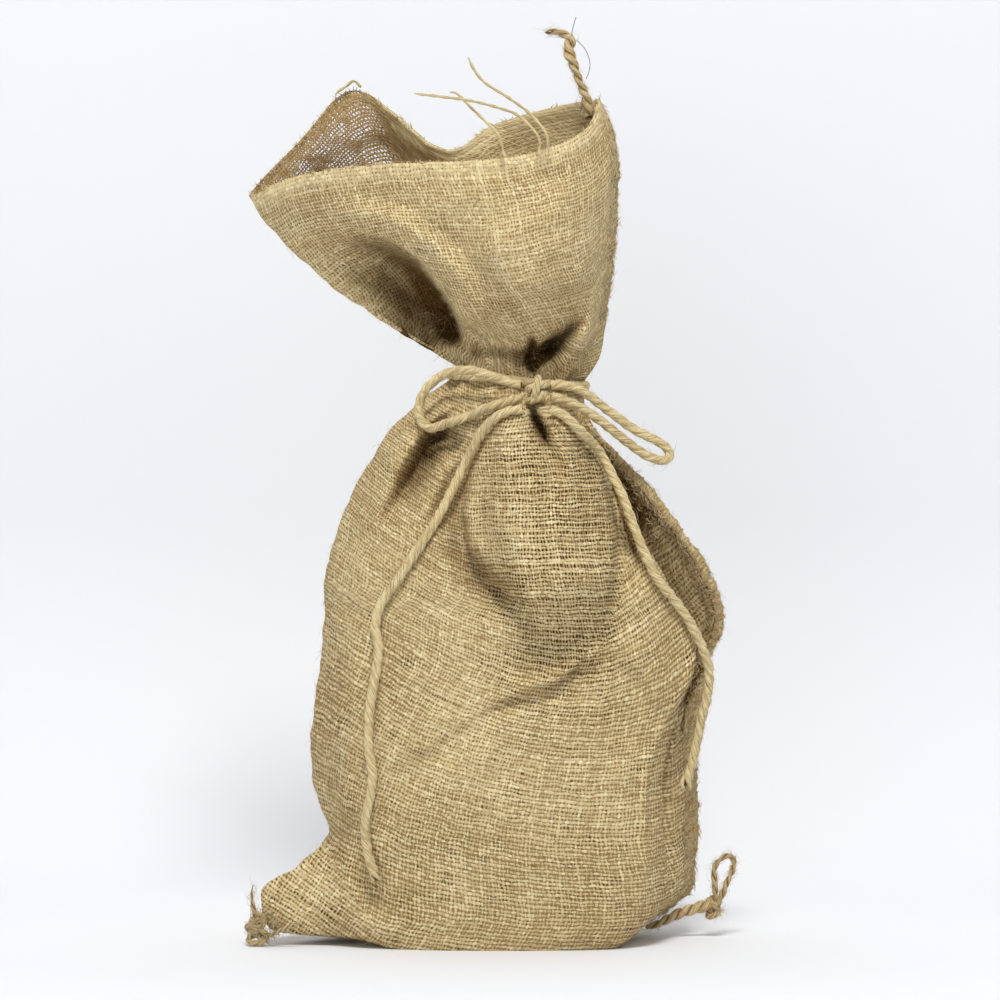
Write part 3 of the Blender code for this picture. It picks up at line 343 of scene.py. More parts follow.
def make_lights():
    scene = bpy.context.scene
    scene.view_settings.view_transform = "Standard"
    scene.view_settings.look = "None"
    scene.world = bpy.data.worlds.new("studio")
    scene.world.use_nodes = True
    sky = scene.world.node_tree.nodes["Background"]
    sky.inputs["Color"].default_value = (0.92, 0.95, 1.0, 1.0)
    sky.inputs["Strength"].default_value = 0.40
    make_light("key", (0.04, -1.2, 1.93), 0.6, 34.0, (1.0, 0.99, 0.97))
    make_light("fill", (-0.6, -2.2, 0.5), 1.2, 6.0)


def paper_material():
    """White paper, clear from behind so that the sack can be seen from every side."""
    material, net = new_material("pale_backdrop")
    grain = net.node("ShaderNodeTexNoise", {"Scale": 9.0, "Detail": 3.0})
    paper = net.mix_colour(grain.outputs["Fac"], (0.80, 0.81, 0.83), (0.84, 0.85, 0.87))
    net.finish(paper, roughness=0.9)
    behind = net.node("ShaderNodeNewGeometry").outputs["Backfacing"]
    clear = net.node("ShaderNodeBsdfTransparent")
    both = net.node("ShaderNodeMixShader")
    for socket, source in zip(both.inputs, (behind, net.shader.outputs[0], clear.outputs[0])):
        net.put(socket, source)
    net.put(net.output.inputs["Surface"], both.outputs[0])
    return material


def make_backdrop():
    """Sweep of paper: floor, a quarter turn, and up behind the sack."""
    profile = [(PAPER_FRONT, 0.0)]
    for i in range(BEND_STEPS + 1):
        angle = 0.5 * math.pi * i / BEND_STEPS
        profile.append((PAPER_WALL - PAPER_BEND + PAPER_BEND * math.sin(angle),
                        PAPER_BEND - PAPER_BEND * math.cos(angle)))
    profile.append((PAPER_WALL, PAPER_TOP))
    points = [(x, y, z) for y, z in profile for x in (-PAPER_HALF_WIDTH, PAPER_HALF_WIDTH)]
    faces = [(2 * i, 2 * i + 1, 2 * i + 3, 2 * i + 2) for i in range(len(profile) - 1)]
    data = bpy.data.meshes.new("paper_sweep")
    data.from_pydata(points, [], faces)
    data.shade_smooth()
    data.materials.append(paper_material())
    link_object("paper_sweep", data)


# ---- Node materials ----

class Value:
    """A number in a shader, which can be written in sums and products."""

    def __init__(self, net, socket):
        self.net = net
        self.socket = socket

    def __add__(self, other):
        return self.net.math("ADD", self, other)

    def __sub__(self, other):
        return self.net.math("SUBTRACT", self, other)

    def __rsub__(self, other):
        return self.net.math("SUBTRACT", other, self)

    def __mul__(self, other):
        return self.net.math("MULTIPLY", self, other)

    def __truediv__(self, other):
        return self.net.math("DIVIDE", self, other)

    __radd__ = __add__
    __rmul__ = __mul__


class Net:
    """Writes shader formulas as nodes."""

    def __init__(self, material):
        self.tree = material.node_tree
        self.shader = self.tree.nodes["Principled BSDF"]
        self.output = self.tree.nodes["Material Output"]

    def node(self, kind, inputs=None, **settings):
        made = self.tree.nodes.new(kind)
        for key, value in settings.items():
            setattr(made, key, value)
        for key, value in (inputs or {}).items():
            self.put(made.inputs[key], value)
        return made

    def put(self, socket, value):
        value = getattr(value, "socket", value)
        if isinstance(value, bpy.types.NodeSocket):
            self.tree.links.new(value, socket)
        elif socket.type == "RGBA":
            socket.default_value = (*value, 1.0)
        else:
            socket.default_value = value

    def math(self, operation, *values):
        made = self.node("ShaderNodeMath", operation=operation)
        for socket, value in zip(made.inputs, values):
            self.put(socket, value)
        return Value(self, made.outputs[0])

    def ramp(self, value, low, high, to_low=0.0, to_high=1.0):
        """Eased step from one value to another while the input goes from low to high."""
        made = self.node("ShaderNodeMapRange", {"Value": value, "From Min": low, "From Max": high,
                                                "To Min": to_low, "To Max": to_high},
                         interpolation_type="SMOOTHSTEP")
        return Value(self, made.outputs["Result"])

    def mix_colour(self, share, a, b, blend="MIX"):
        made = self.node("ShaderNodeMix", data_type="RGBA", blend_type=blend)
        for socket, value in zip((made.inputs[0], made.inputs[6], made.inputs[7]), (share, a, b)):
            self.put(socket, value)
        return made.outputs[2]

    def choose(self, share, a, b):
        return a + share * (b - a)

    def vector(self, x, y, z=0.0):
        return self.node("ShaderNodeCombineXYZ", {"X": x, "Y": y, "Z": z}).outputs[0]

    def noise(self, x, y, z=0.0, detail=2.0, roughness=0.5):
        """Noise at x, y; z tells one pattern from another unless it is a place too."""
        made = self.node("ShaderNodeTexNoise", {"Vector": self.vector(x, y, z), "Scale": 1.0,
                                                "Detail": detail, "Roughness": roughness})
        return Value(self, made.outputs["Fac"])

    def chance(self, x, y):
        made = self.node("ShaderNodeTexWhiteNoise", {"Vector": self.vector(x, y)},
                         noise_dimensions="2D")
        return Value(self, made.outputs["Value"])

    def attribute(self, name):
        return Value(self, self.node("ShaderNodeAttribute", attribute_name=name).outputs["Fac"])

    def uv(self, name):
        where = self.node("ShaderNodeUVMap", uv_map=name).outputs["UV"]
        split = self.node("ShaderNodeSeparateXYZ", {"Vector": where})
        return Value(self, split.outputs["X"]), Value(self, split.outputs["Y"])

    def finish(self, colour, roughness, specular=None, bump=None):
        """Sets the shader's colour and gloss, and its bump from a height, strength and depth."""
        self.put(self.shader.inputs["Base Color"], colour)
        self.shader.inputs["Roughness"].default_value = roughness
        if specular is not None:
            self.shader.inputs["Specular IOR Level"].default_value = specular
        if bump is not None:
            inputs = dict(zip(("Height", "Strength", "Distance"), bump))
            bumped = self.node("ShaderNodeBump", inputs)
            self.put(self.shader.inputs["Normal"], bumped.outputs["Normal"])


def new_material(name):
    material = bpy.data.materials.new(name)
    material.use_nodes = True
    return material, Net(material)


UV_SCALE = 100.0           # millimetres of cloth or cord in one unit of a UV map
STRANDS_IN_UV = 10.0       # once round a strand is a tenth of a unit

# Colours of the cloth's threads, from the palest down to the painted shade on their sides and in the
# gaps between them
HESSIAN_PALE = (0.84, 0.73, 0.46)
HESSIAN_LIGHT = (0.68, 0.55, 0.30)
HESSIAN_MID = (0.50, 0.370, 0.180)
HESSIAN_LOW = (0.30, 0.195, 0.082)
HESSIAN_GAP_SHADE = (0.050, 0.030, 0.010)
HESSIAN_SHADE = (0.20, 0.135, 0.075)   # multiplies the cloth where it is hidden from the light
HESSIAN_INSIDE_SHADE = (0.66, 0.55, 0.43)    # and inside the mouth, where it is seen through
ODD_BROWN = (0.30, 0.13, 0.05)
ODD_PALE = (0.80, 0.70, 0.48)
HEM_FLECK = (0.46, 0.19, 0.07)
HEM_SHADE_LINE = (0.13, 0.065, 0.022)

# How far the cloth and its threads stray, and how thick they are, in millimetres
CLOTH_WANDER = 2.4
WARP_WANDER = 1.5
WEFT_WANDER = 1.1
PAIR_PULL = 0.24           # how far two wefts may draw together
WARP_HALF = 0.33
WEFT_HALF = 0.44
WARP_SWELL = 0.75          # how much each half width swells and thins along a thread
WEFT_SWELL = 0.8
CRIMP = 0.34               # how far a thread rises over those that it crosses
NO_THREAD = -1.2           # height where a thread isn't

Threads = namedtuple("Threads", "u v warp weft open_weave height warp_shows hole tone")


def weave_threads(net, u0, v0):
    """Plain weave from threads that wander and swell, with holes where they leave room."""
    u = u0 + (net.noise(u0 * 0.11, v0 * 0.11, detail=3.0) - 0.5) * CLOTH_WANDER
    v = v0 + (net.noise(v0 * 0.11, u0 * 0.11, 7.0, detail=3.0) - 0.5) * CLOTH_WANDER
    rim = net.attribute("rim")
    open_weave = net.attribute("open_weave")

    # Offsets from the middle of the nearest warp, and of the nearest weft in its pair
    warp_at = u / WARP_PITCH
    warp = net.math("FLOOR", warp_at)
    warp_way = net.noise(warp * 5.3, v * 0.19, 3.0) - 0.5
    du = (net.math("FRACT", warp_at) - 0.5) * WARP_PITCH - warp_way * WARP_WANDER
    pair_at = v / (2.0 * WEFT_PITCH)
    pair = net.math("FLOOR", pair_at)
    in_pair = net.math("FRACT", pair_at) * (2.0 * WEFT_PITCH)
    upper = net.math("GREATER_THAN", in_pair, WEFT_PITCH)
    weft = pair * 2.0 + upper
    together = net.ramp(net.noise(u * 0.035, pair * 2.7, 5.0), 0.38, 0.62, 0.0, PAIR_PULL)
    together = together * (0.45 + 0.55 * open_weave)
    weft_way = net.noise(u * 0.17, weft * 5.7, 13.0) - 0.5
    dv = in_pair - 0.5 * WEFT_PITCH - together - upper * (WEFT_PITCH - 2.0 * together)
    dv = dv - weft_way * WEFT_WANDER

    # Half widths: closer at the mouth's edge, and by patches, threads and swells
    warp_tone = net.chance(warp, 0.37)
    weft_tone = net.chance(weft, 411.7)
    patch = net.noise(u0 * 0.022, v0 * 0.022, 1.0)
    close = (net.ramp(rim, 4.0, 9.0, 0.16, 0.0) + net.ramp(patch, 0.40, 0.66, -0.03, 0.07)
             + net.choose(open_weave, 0.05, 0.03))
    close = close - 0.12 * net.attribute("open_cloth")
    warp_swell = net.noise(warp * 3.1, v * 0.33, 17.0) - 0.5
    weft_swell = net.noise(u * 0.28, weft * 3.7, 23.0) - 0.5
    warp_half = close + WARP_HALF + warp_swell * WARP_SWELL + (warp_tone - 0.5) * 0.10
    weft_half = close + WEFT_HALF + weft_swell * WEFT_SWELL + (weft_tone - 0.5) * 0.12

    # Which thread is on top, and how high each one is; near the tie, wefts show most
    side = net.math("PINGPONG", warp + weft, 1.0) * 2.0 - 1.0
    proud = net.ramp(rim, 95.0, 120.0, 0.14, -0.05)
    warp_axis = side * net.math("COSINE", dv * (math.pi / WEFT_PITCH)) * CRIMP + proud
    weft_axis = side * net.math("COSINE", du * (math.pi / WARP_PITCH)) * -CRIMP
    heights, there = [], []
    for offset, half, axis in ((du, warp_half, warp_axis), (dv, weft_half, weft_axis)):
        share = offset / net.math("MAXIMUM", half, 0.08)
        crown = net.math("SQRT", net.math("MAXIMUM", 1.0 - share * share, 0.0)) * half
        there.append(net.math("GREATER_THAN", crown, 0.001))
        heights.append(NO_THREAD + there[-1] * (axis + crown - NO_THREAD))
    warp_shows = net.math("GREATER_THAN", *heights)
    return Threads(u, v, warp, weft, open_weave, net.math("MAXIMUM", *heights), warp_shows,
                   1.0 - net.math("MAXIMUM", *there), net.choose(warp_shows, weft_tone, warp_tone))


def thread_colour(net, threads, u0, v0):
    """Tone by thread, by float, by streaks of fibre along the thread, and in blotches, with painted
    shade down the threads' sides and in the gaps between them.
    """
    u, v = threads.u, threads.v
    float_tone = net.chance(threads.warp + 0.5, threads.weft + 0.5)
    streak = net.choose(threads.warp_shows, net.noise(u * 0.6, v * 4.5, 9.0, 3.0, 0.7),
                        net.noise(u * 4.5, v * 0.6, 2.0, 3.0, 0.7))
    blotch = net.noise(u0 * 0.05, v0 * 0.05, 4.0, 4.0, 0.6)
    shade = threads.tone * 0.22 + float_tone * 0.34 + streak * 0.7 + blotch * 0.4
    thread = net.mix_colour(net.ramp(shade, 0.45, 0.95), HESSIAN_MID, HESSIAN_LIGHT)
    thread = net.mix_colour(net.ramp(shade, 0.86, 1.2), thread, HESSIAN_PALE)
    # Painted shade down each thread's sides, where it dips below its crown
    thread = net.mix_colour(net.ramp(threads.height, 0.02, 0.66), HESSIAN_LOW, thread)
    odd = net.noise(u * 0.6, v * 0.6, 31.0, 1.0)
    thread = net.mix_colour(net.ramp(odd, 0.76, 0.80, 0.0, 0.5), thread, ODD_BROWN)
    pale = net.noise(u * 0.5, v * 0.5, 57.0, 1.0)
    thread = net.mix_colour(net.ramp(pale, 0.73, 0.79, 0.0, 0.5), thread, ODD_PALE)
    # Painted shade in the gaps: the dark inside of the sack that shows through them, darker where the
    # weave is open
    depth = (net.noise(u0 * 0.09, v0 * 0.14, 41.0) + threads.open_weave * 0.35
             + (float_tone - 0.5) * 0.3)
    behind = net.mix_colour(net.ramp(depth, 0.56, 0.90), HESSIAN_LOW, HESSIAN_GAP_SHADE)
    return net.mix_colour(threads.hole, thread, behind)


def hem_by_seam(net, colour, u0, v0):
    """The turned-in hem by the seam is matted and flecked, with a line of painted shade along it."""
    seam = net.attribute("seam")
    matted = net.noise(u0 * 1.1, v0 * 0.8, 63.0, 4.0, 0.7)
    hem = net.mix_colour(net.ramp(matted, 0.36, 0.62), HESSIAN_LOW, HESSIAN_LIGHT)
    fleck = net.noise(u0 * 0.35, v0 * 0.45, 71.0, 1.0)
    hem = net.mix_colour(net.ramp(fleck, 0.60, 0.68, 0.0, 0.8), hem, HEM_FLECK)
    colour = net.mix_colour(net.ramp(seam, 0.9, 1.0, 0.72, 0.0), colour, hem)
    # Painted shade in the groove along the hem's edge
    line = net.ramp(seam, 0.86, 0.98) * net.ramp(seam, 1.04, 1.18, 1.0, 0.0)
    return net.mix_colour(line * 0.7, colour, HEM_SHADE_LINE)


def hessian_material():
    material, net = new_material("hessian_weave")
    u0, v0 = (place * UV_SCALE for place in net.uv("weave"))
    threads = weave_threads(net, u0, v0)
    colour = hem_by_seam(net, thread_colour(net, threads, u0, v0), u0, v0)
    # Painted shade: the colour is darkened where other cloth hides it from the light
    painted_shade = net.ramp(net.attribute("painted_shade"), 0.15, 0.76)
    colour = net.mix_colour(painted_shade, colour, HESSIAN_SHADE, "MULTIPLY")
    # Painted shade on the cloth's inner side at the mouth, where it is seen through
    colour = net.mix_colour(net.attribute("inside_shade"), colour, HESSIAN_INSIDE_SHADE, "MULTIPLY")
    net.finish(colour, roughness=0.9, specular=0.05, bump=(threads.height, 0.7, 0.0004))
    # In patches of the see-through cloth, fibres close part of each hole
    clear = net.ramp(net.noise(u0 * 0.11, v0 * 0.11, 83.0), 0.36, 0.56, 0.35, 1.0)
    see_through = threads.hole * net.attribute("open_cloth") * clear
    net.put(net.shader.inputs["Alpha"], 1.0 - see_through)
    return material


FIBRE_TURNS = 0.07         # turns that a strand's fibres make in each millimetre


def cord_material(name, light, mid, dark, fleck):
    """Spun fibre: fine streaks along each strand, and painted shade where strands meet."""
    material, net = new_material(name)
    around, along = net.uv("strand")
    around, along = around * STRANDS_IN_UV, along * UV_SCALE
    turned = (along * FIBRE_TURNS + around) * TURN
    x, y = net.math("SINE", turned), net.math("COSINE", turned)
    streak = net.noise(x * 2.2, y * 2.2, along * 0.16, 5.0, 0.75)
    fine = net.noise(x * 3.4, y * 3.4, along * 0.22, 3.0, 0.75)
    shade = net.noise(0.0, 3.0, along * 0.10, 3.0) * 0.35 + streak * 0.9 + fine * 0.6
    colour = net.mix_colour(net.ramp(shade, 0.78, 1.08), mid, light)
    colour = net.mix_colour(net.ramp(fine, 0.36, 0.46), net.mix_colour(0.65, mid, dark), colour)
    # Painted shade in the grooves where strands meet
    colour = net.mix_colour(net.ramp(net.attribute("groove"), 0.0, 0.7), dark, colour)
    odd = net.noise(around, along * 0.25, 77.0, 1.0)
    colour = net.mix_colour(net.ramp(odd, 0.66, 0.74, 0.0, 0.6), colour, fleck)
    net.finish(colour, roughness=0.75, specular=0.3, bump=(streak + fine, 0.9, 0.0005))
    return material


def fibre_material():
    """Single jute fibres, from pale to brown."""
    material, net = new_material("jute_fibre")
    place = Value(net, net.node("ShaderNodeTexNoise", {"Scale": 60.0}).outputs["Fac"])
    shade = net.ramp(net.attribute("tone") * 0.8 + place * 0.4, 0.1, 0.8)
    net.finish(net.mix_colour(shade, (0.32, 0.20, 0.085), (0.74, 0.61, 0.36)), roughness=0.7)
    return material


# ---- Shape of the cloth ----

WAVE_OCTAVES = 3
WAVES_EACH = 5             # directions that the waves of one octave run in
SEAM_START = 4.0           # height at which the seam's ridge starts
SEAM_FADE = 8.0            # and the height that it takes to stand out fully
BASE_FADE = 20.0           # height over which the folds start above the base
SLACK_WAVES = ((0.9, 46.0, 3), (0.45, 17.0, 5))     # height, length and seed


def smooth_step(t):
    t = np.clip(t, 0.0, 1.0)
    return t * t * (3.0 - 2.0 * t)


def hermite(t, start, end, leave, arrive):
    """Cubic from start to end over t from 0 to 1, with the given slopes at its ends."""
    return ((1 + 2 * t) * (1 - t) ** 2 * start + t * t * (3 - 2 * t) * end
            + t * (1 - t) ** 2 * leave + t * t * (t - 1) * arrive)


def distances_along(points, axis=0):
    """Distance of each point from the first, along the line that they make."""
    steps = np.linalg.norm(np.diff(points, axis=axis), axis=-1)
    return np.insert(np.cumsum(steps, axis=axis), 0, 0.0, axis=axis)


def body_section(row):
    """The ten points of a section of the filled body."""
    width = row.right[0] - row.left[0]
    back_right = (row.right[0] - 0.26 * width, row.back_y)
    back_left = (-20 - 0.24 * (width - 45), row.back_y)
    right_back = (row.right[0] - 0.07 * width, 0.5 * row.back_y)
    flat = (row.left, row.wall_left, row.front_left, row.front_right, row.wall_right,
            row.right, right_back, back_right, back_left, row.left_back)
    return [(x, y, row.z) for x, y in flat]


def monotone_columns(values, stations, wanted):
    """Cubic through each column of values that never overshoots its rows."""
    gaps = np.diff(stations)
    slopes = np.diff(values, axis=0) / gaps[:, None]
    inner = np.zeros_like(values)
    product = slopes[1:] * slopes[:-1]
    safe = np.where(product > 0, slopes[1:] + slopes[:-1], 1.0)
    inner[1:-1] = np.where(product > 0, 2.0 * product / safe, 0.0)
    inner[0] = slopes[0]
    inner[-1] = slopes[-1]
    span = np.clip(np.searchsorted(stations, wanted, side="right") - 1, 0, len(gaps) - 1)
    width = gaps[span][:, None]
    t = (wanted - stations[span])[:, None] / width
    return hermite(t, values[span], values[span + 1], width * inner[span], width * inner[span + 1])


def closed_curve(points, steps):
    """Smooth closed curve that keeps close to the points where they lie near each other."""
    count = len(points)
    gaps = np.sqrt(np.linalg.norm(np.roll(points, -1, axis=0) - points, axis=1))
    curve = []
    for i in range(count):
        before, start, end, after = (points[(i + k) % count] for k in (-1, 0, 1, 2))
        gap_before, gap, gap_after = gaps[i - 1], gaps[i], gaps[(i + 1) % count]
        leave = ((start - before) / gap_before - (end - before) / (gap_before + gap)
                 + (end - start) / gap) * gap
        arrive = ((end - start) / gap - (after - start) / (gap + gap_after)
                  + (after - end) / gap_after) * gap
        t = (np.arange(steps[i]) / steps[i])[:, None]
        curve.append(hermite(t, start, end, leave, arrive))
    return np.concatenate(curve)


def fold_depth(x, z, folds=FOLDS):
    """How far the folds bring the front of the cloth towards -Y at each x, z; given the lines of
    painted shade, how much shade is painted at each x, z.
    """
    depth = np.zeros_like(x)
    for fold in folds:
        line = np.array(fold.line, dtype=float)
        runs = np.diff(line, axis=0)
        starts = distances_along(line)
        lengths = np.diff(starts)
        nearest = np.full_like(x, np.inf)
        share = np.zeros_like(x)
        on_left = np.zeros(x.shape, dtype=bool)
        for (x0, z0), (run_x, run_z), length, start in zip(line, runs, lengths, starts):
            along = np.clip(((x - x0) * run_x + (z - z0) * run_z) / length ** 2, 0.0, 1.0)
            off_x, off_z = x - x0 - along * run_x, z - z0 - along * run_z
            distance = np.hypot(off_x, off_z)
            nearer = distance < nearest
            nearest = np.where(nearer, distance, nearest)
            share = np.where(nearer, (start + along * length) / starts[-1], share)
            on_left = np.where(nearer, run_x * off_z - run_z * off_x > 0, on_left)
        width = np.where(on_left, fold.left, fold.right)
        fade = smooth_step(share / fold.fade_in) * smooth_step((1.0 - share) / fold.fade_out)
        fullness = RIDGE_FULLNESS if fold.height > 0 else 1.0
        depth += fold.height * fade * smooth_step(fullness * (1.0 - nearest / width))
    return depth


def outward_normals(rings):
    along = np.gradient(rings, axis=0)
    around = np.roll(rings, -1, axis=1) - np.roll(rings, 1, axis=1)
    normals = np.cross(around, along)
    return normals / np.maximum(np.linalg.norm(normals, axis=2), 1e-9)[:, :, None]


def wall_fold_depth(rings):
    """How far the wall folds bring the cloth outwards."""
    round_it = distances_along(np.concatenate((rings, rings[:, :1]), axis=1), axis=1)
    z = rings[:, :, 2].mean(axis=1)
    depth = np.zeros(rings.shape[:2])
    rows = np.arange(len(rings))
    for fold in WALL_FOLDS:
        heights, places = np.array(sorted((height, place) for place, height in fold.line)).T
        column = np.interp(np.interp(z, heights, places), np.arange(len(PLACES)), PLACES)
        low = np.floor(column).astype(int)
        centre = (round_it[rows, low] * (1 - column + low)
                  + round_it[rows, np.minimum(low + 1, PLACES[-1])] * (column - low))
        distance = np.abs(round_it[:, :-1] - centre[:, None])
        distance = np.minimum(distance, round_it[:, -1:] - distance)
        reach = heights[-1] - heights[0]
        fade = smooth_step((z - heights[0] + 0.15 * reach) / (0.3 * reach))
        fade = fade * smooth_step((heights[-1] + 0.1 * reach - z) / (0.3 * reach))
        depth += fold.height * fade[:, None] * smooth_step(1.0 - distance / fold.half_width)
    return depth


def waves(points, length, seed):
    """Smooth noise from sums of sine waves in several directions, between about -1 and 1."""
    draw = np.random.default_rng(seed)
    total = np.zeros(points.shape[:2])
    weight = 0.0
    for octave in range(WAVE_OCTAVES):
        amount = 0.55 ** octave
        for _ in range(WAVES_EACH):
            direction = draw.normal(size=3)
            direction /= np.linalg.norm(direction)
            size = length * 0.5 ** octave * draw.uniform(0.7, 1.4)
            total += amount * np.sin(points @ direction * TURN / size + draw.uniform(0, TURN))
        weight += amount * 2.2
    return total / weight


def keep_mouth_open(rings, plain):
    """Stop the folds of the mouth's front short of its back."""
    for ring, before in zip(rings, plain):
        if ring[:, 2].mean() < TIE_HEIGHT:
            continue
        back = ring[FRONT_STEPS:]
        order = np.argsort(back[:, 0])
        limit = np.interp(ring[:FRONT_STEPS, 0], back[order, 0], back[order, 1]) - MOUTH_ROOM
        limit = np.maximum(limit, before[:FRONT_STEPS, 1])
        ring[:FRONT_STEPS, 1] = np.minimum(ring[:FRONT_STEPS, 1], limit)


def sack_rings():
    """Rings of the sack's outer surface, from the base to the edge of the mouth.

    The second result is the same with shallower folds, to lay the weave out over.
    """
    sections = np.array([body_section(row) for row in BODY_SECTIONS]
                        + [list(row) for row in COLLAR_SECTIONS], dtype=float)
    spacing = np.linalg.norm(np.diff(sections, axis=0), axis=2).mean(axis=1)
    stations = np.concatenate(([0.0], np.cumsum(spacing)))
    wanted = np.linspace(0.0, stations[-1], int(stations[-1] / ROW_STEP) + 1)
    flat = sections.reshape(len(sections), -1)
    cages = monotone_columns(flat, stations, wanted).reshape(len(wanted), -1, 3)
    rings = np.array([closed_curve(cage, STEPS) for cage in cages])
    plain = rings.copy()

    round_front = np.arange(rings.shape[1]) / FRONT_STEPS
    front = np.where(round_front < 1.0, np.sin(np.pi * np.minimum(round_front, 1.0)), 0.0)
    front = smooth_step(1.6 * front)
    above_base = smooth_step(rings[:, :, 2] / BASE_FADE)
    free_of_tie = smooth_step(np.abs(rings[:, :, 2] - TIE_HEIGHT) / TIE_GRIP)
    rings[:, :, 1] -= (front * above_base * free_of_tie
                       * fold_depth(rings[:, :, 0], rings[:, :, 2]))
    keep_mouth_open(rings, plain)
    out = outward_normals(rings)
    rings += out * (wall_fold_depth(rings) * above_base * free_of_tie)[:, :, None]

    # Pleats at the tie, fewer at the back; then the ridge of the right side's seam
    out = outward_normals(rings)
    turn = np.linspace(0.0, TURN * PLEAT_COUNT, rings.shape[1], endpoint=False)
    near_tie = smooth_step(1.0 - np.abs(rings[:, :, 2] - TIE_HEIGHT) / PLEAT_REACH)
    rings += out * (PLEAT_DEPTH * (1.0 - 0.6 * front) * np.cos(turn) * near_tie)[:, :, None]
    seam_distance = np.abs(np.arange(rings.shape[1]) - FRONT_STEPS) / FINENESS
    ridge = SEAM_RIDGE * np.clip(1.0 - seam_distance, 0.0, 1.0) ** 1.2
    seam_height = smooth_step((rings[:, FRONT_STEPS, 2] - SEAM_START) / SEAM_FADE)
    rings += out * (ridge[None, :] * seam_height[:, None])[:, :, None]

    # Small unevenness of slack cloth, less at the base and the tie; then the hem's band
    slack = sum(height * waves(rings, length, seed) for height, length, seed in SLACK_WAVES)
    rings += out * (slack * above_base * (0.3 + 0.7 * free_of_tie))[:, :, None]
    hem = smooth_step((wanted - (stations[-1] - HEM_DEPTH)) / 1.5)
    rings += out * (HEM_LIFT * hem)[:, None, None]
    return rings, plain + WEAVE_FOLLOWS * (rings - plain)


# ---- How the weave is laid out over the cloth ----

SLOPE_STEP = 2.0           # spacing of the grid that the rows' slopes are summed up over
SLOPE_COLUMNS = 111        # it spans 220 across and 240 up, and its shifts are measured
SLOPE_ROWS = 121           # from these columns and rows
LEVEL_COLUMN = 60
PLUMB_ROW = 45
HELD_ROW = 60
HELD_COLUMN = 55
LEFT_WALL = 1.95           # place where the left side wall ends
RIGHT_WALL = 3.05          # and where the right one starts, up to the seam's place
SEAM_PLACE = 5.0
WALL_TOP = 210.0           # height at which the side walls have run out


def row_slopes(x, z):
    """Tangent of the weft rows' slope, down to the right, at each x, z of the front."""
    heights = np.array([height for height, _ in ROW_SLOPES], dtype=float)
    table = np.tan(np.radians([slopes for _, slopes in ROW_SLOPES]))
    at_x = np.array([np.interp(x[0], SLOPE_PLACES, slopes) for slopes in table])
    return np.array([np.interp(z[:, 0], heights, column) for column in at_x.T]).T


def weave_places(rings):
    """Each point's place round the cloth and up to its mouth's edge, and its x and z."""
    closed = np.concatenate((rings, rings[:, :1]), axis=1)
    across = np.linalg.norm(np.diff(closed, axis=1), axis=2)
    # The side walls face away from the front, where their weave shows as wide as elsewhere
    place = np.interp(np.arange(across.shape[1]) + 0.5, PLACES, np.arange(len(PLACES)))
    side = (smooth_step((place - RIGHT_WALL) / 0.5) * (place < SEAM_PLACE)
            + smooth_step((LEFT_WALL - place) / 0.5))
    low = smooth_step((WALL_TOP - rings[:, :, 2].mean(axis=1)) / 90.0)
    across = across * (1.0 - SIDE_WEAVE_SPREAD * side[None, :] * low[:, None])
    round_it = np.concatenate((np.zeros((len(rings), 1)), np.cumsum(across, axis=1)), axis=1)
    # Columns run from the seam on the right, back round to it
    middle = (PLACES[2] + PLACES[3]) // 2
    u = round_it - round_it[:, middle:middle + 1]
    u[:, FRONT_STEPS + 1:] -= round_it[:, -1:]
    v = distances_along(closed)
    return u, v - v[-1:], closed[:, :, 0], closed[:, :, 2]


def limited(grid, axis, step, middle):
    """Rebuilds a grid outwards from its middle with its changes along one axis limited."""
    change = np.clip(np.diff(grid, axis=axis), -WEAVE_SQUEEZE * step, WEAVE_SQUEEZE * step)
    grown = np.cumsum(np.insert(change, 0, 0.0, axis=axis), axis=axis)
    return grown - grown.take([middle], axis) + grid.take([middle], axis)


def leaning_weave(u, x, z):
    """Weave of the body, turned by the slope of its rows."""
    xs = SLOPE_STEP * (np.arange(SLOPE_COLUMNS) - SLOPE_COLUMNS // 2)
    zs = SLOPE_STEP * np.arange(SLOPE_ROWS)
    slope = row_slopes(*np.meshgrid(xs, zs))
    rise = np.cumsum(slope, axis=1) * SLOPE_STEP
    rise = limited(rise - rise[:, [LEVEL_COLUMN]], 0, SLOPE_STEP, HELD_ROW)
    shift = -WARP_TURN * np.cumsum(slope, axis=0) * SLOPE_STEP
    shift = limited(shift - shift[[PLUMB_ROW]], 1, SLOPE_STEP, HELD_COLUMN)

    # The back's rows carry on from the front's over the left edge, and flatten out
    past = np.maximum(u[:, :1] - u, 0.0)
    beyond = x[:, :1] - LEAN_REACH * (1.0 - np.exp(-past / LEAN_REACH))
    x = np.where(np.arange(x.shape[1]) > FRONT_STEPS, beyond, x)
    fx = np.clip((x - xs[0]) / SLOPE_STEP, 0, SLOPE_COLUMNS - 1.001)
    fz = np.clip(z / SLOPE_STEP, 0, SLOPE_ROWS - 1.001)
    ix, iz = fx.astype(int), fz.astype(int)
    tx, tz = fx - ix, fz - iz

    def look_up(grid):
        return ((grid[iz, ix] * (1 - tx) + grid[iz, ix + 1] * tx) * (1 - tz)
                + (grid[iz + 1, ix] * (1 - tx) + grid[iz + 1, ix + 1] * tx) * tz)

    return u + look_up(shift), z + look_up(rise)


def grid_faces(rows, columns, offset=0, flip=False):
    """Quads between rows of points that go once round."""
    r, c = np.meshgrid(np.arange(rows - 1), np.arange(columns), indexing="ij")
    r, c = r.ravel(), c.ravel()
    n = (c + 1) % columns
    faces = np.column_stack((r * columns + c, r * columns + n, (r + 1) * columns + n,
                             (r + 1) * columns + c)) + offset
    return faces[:, ::-1] if flip else faces


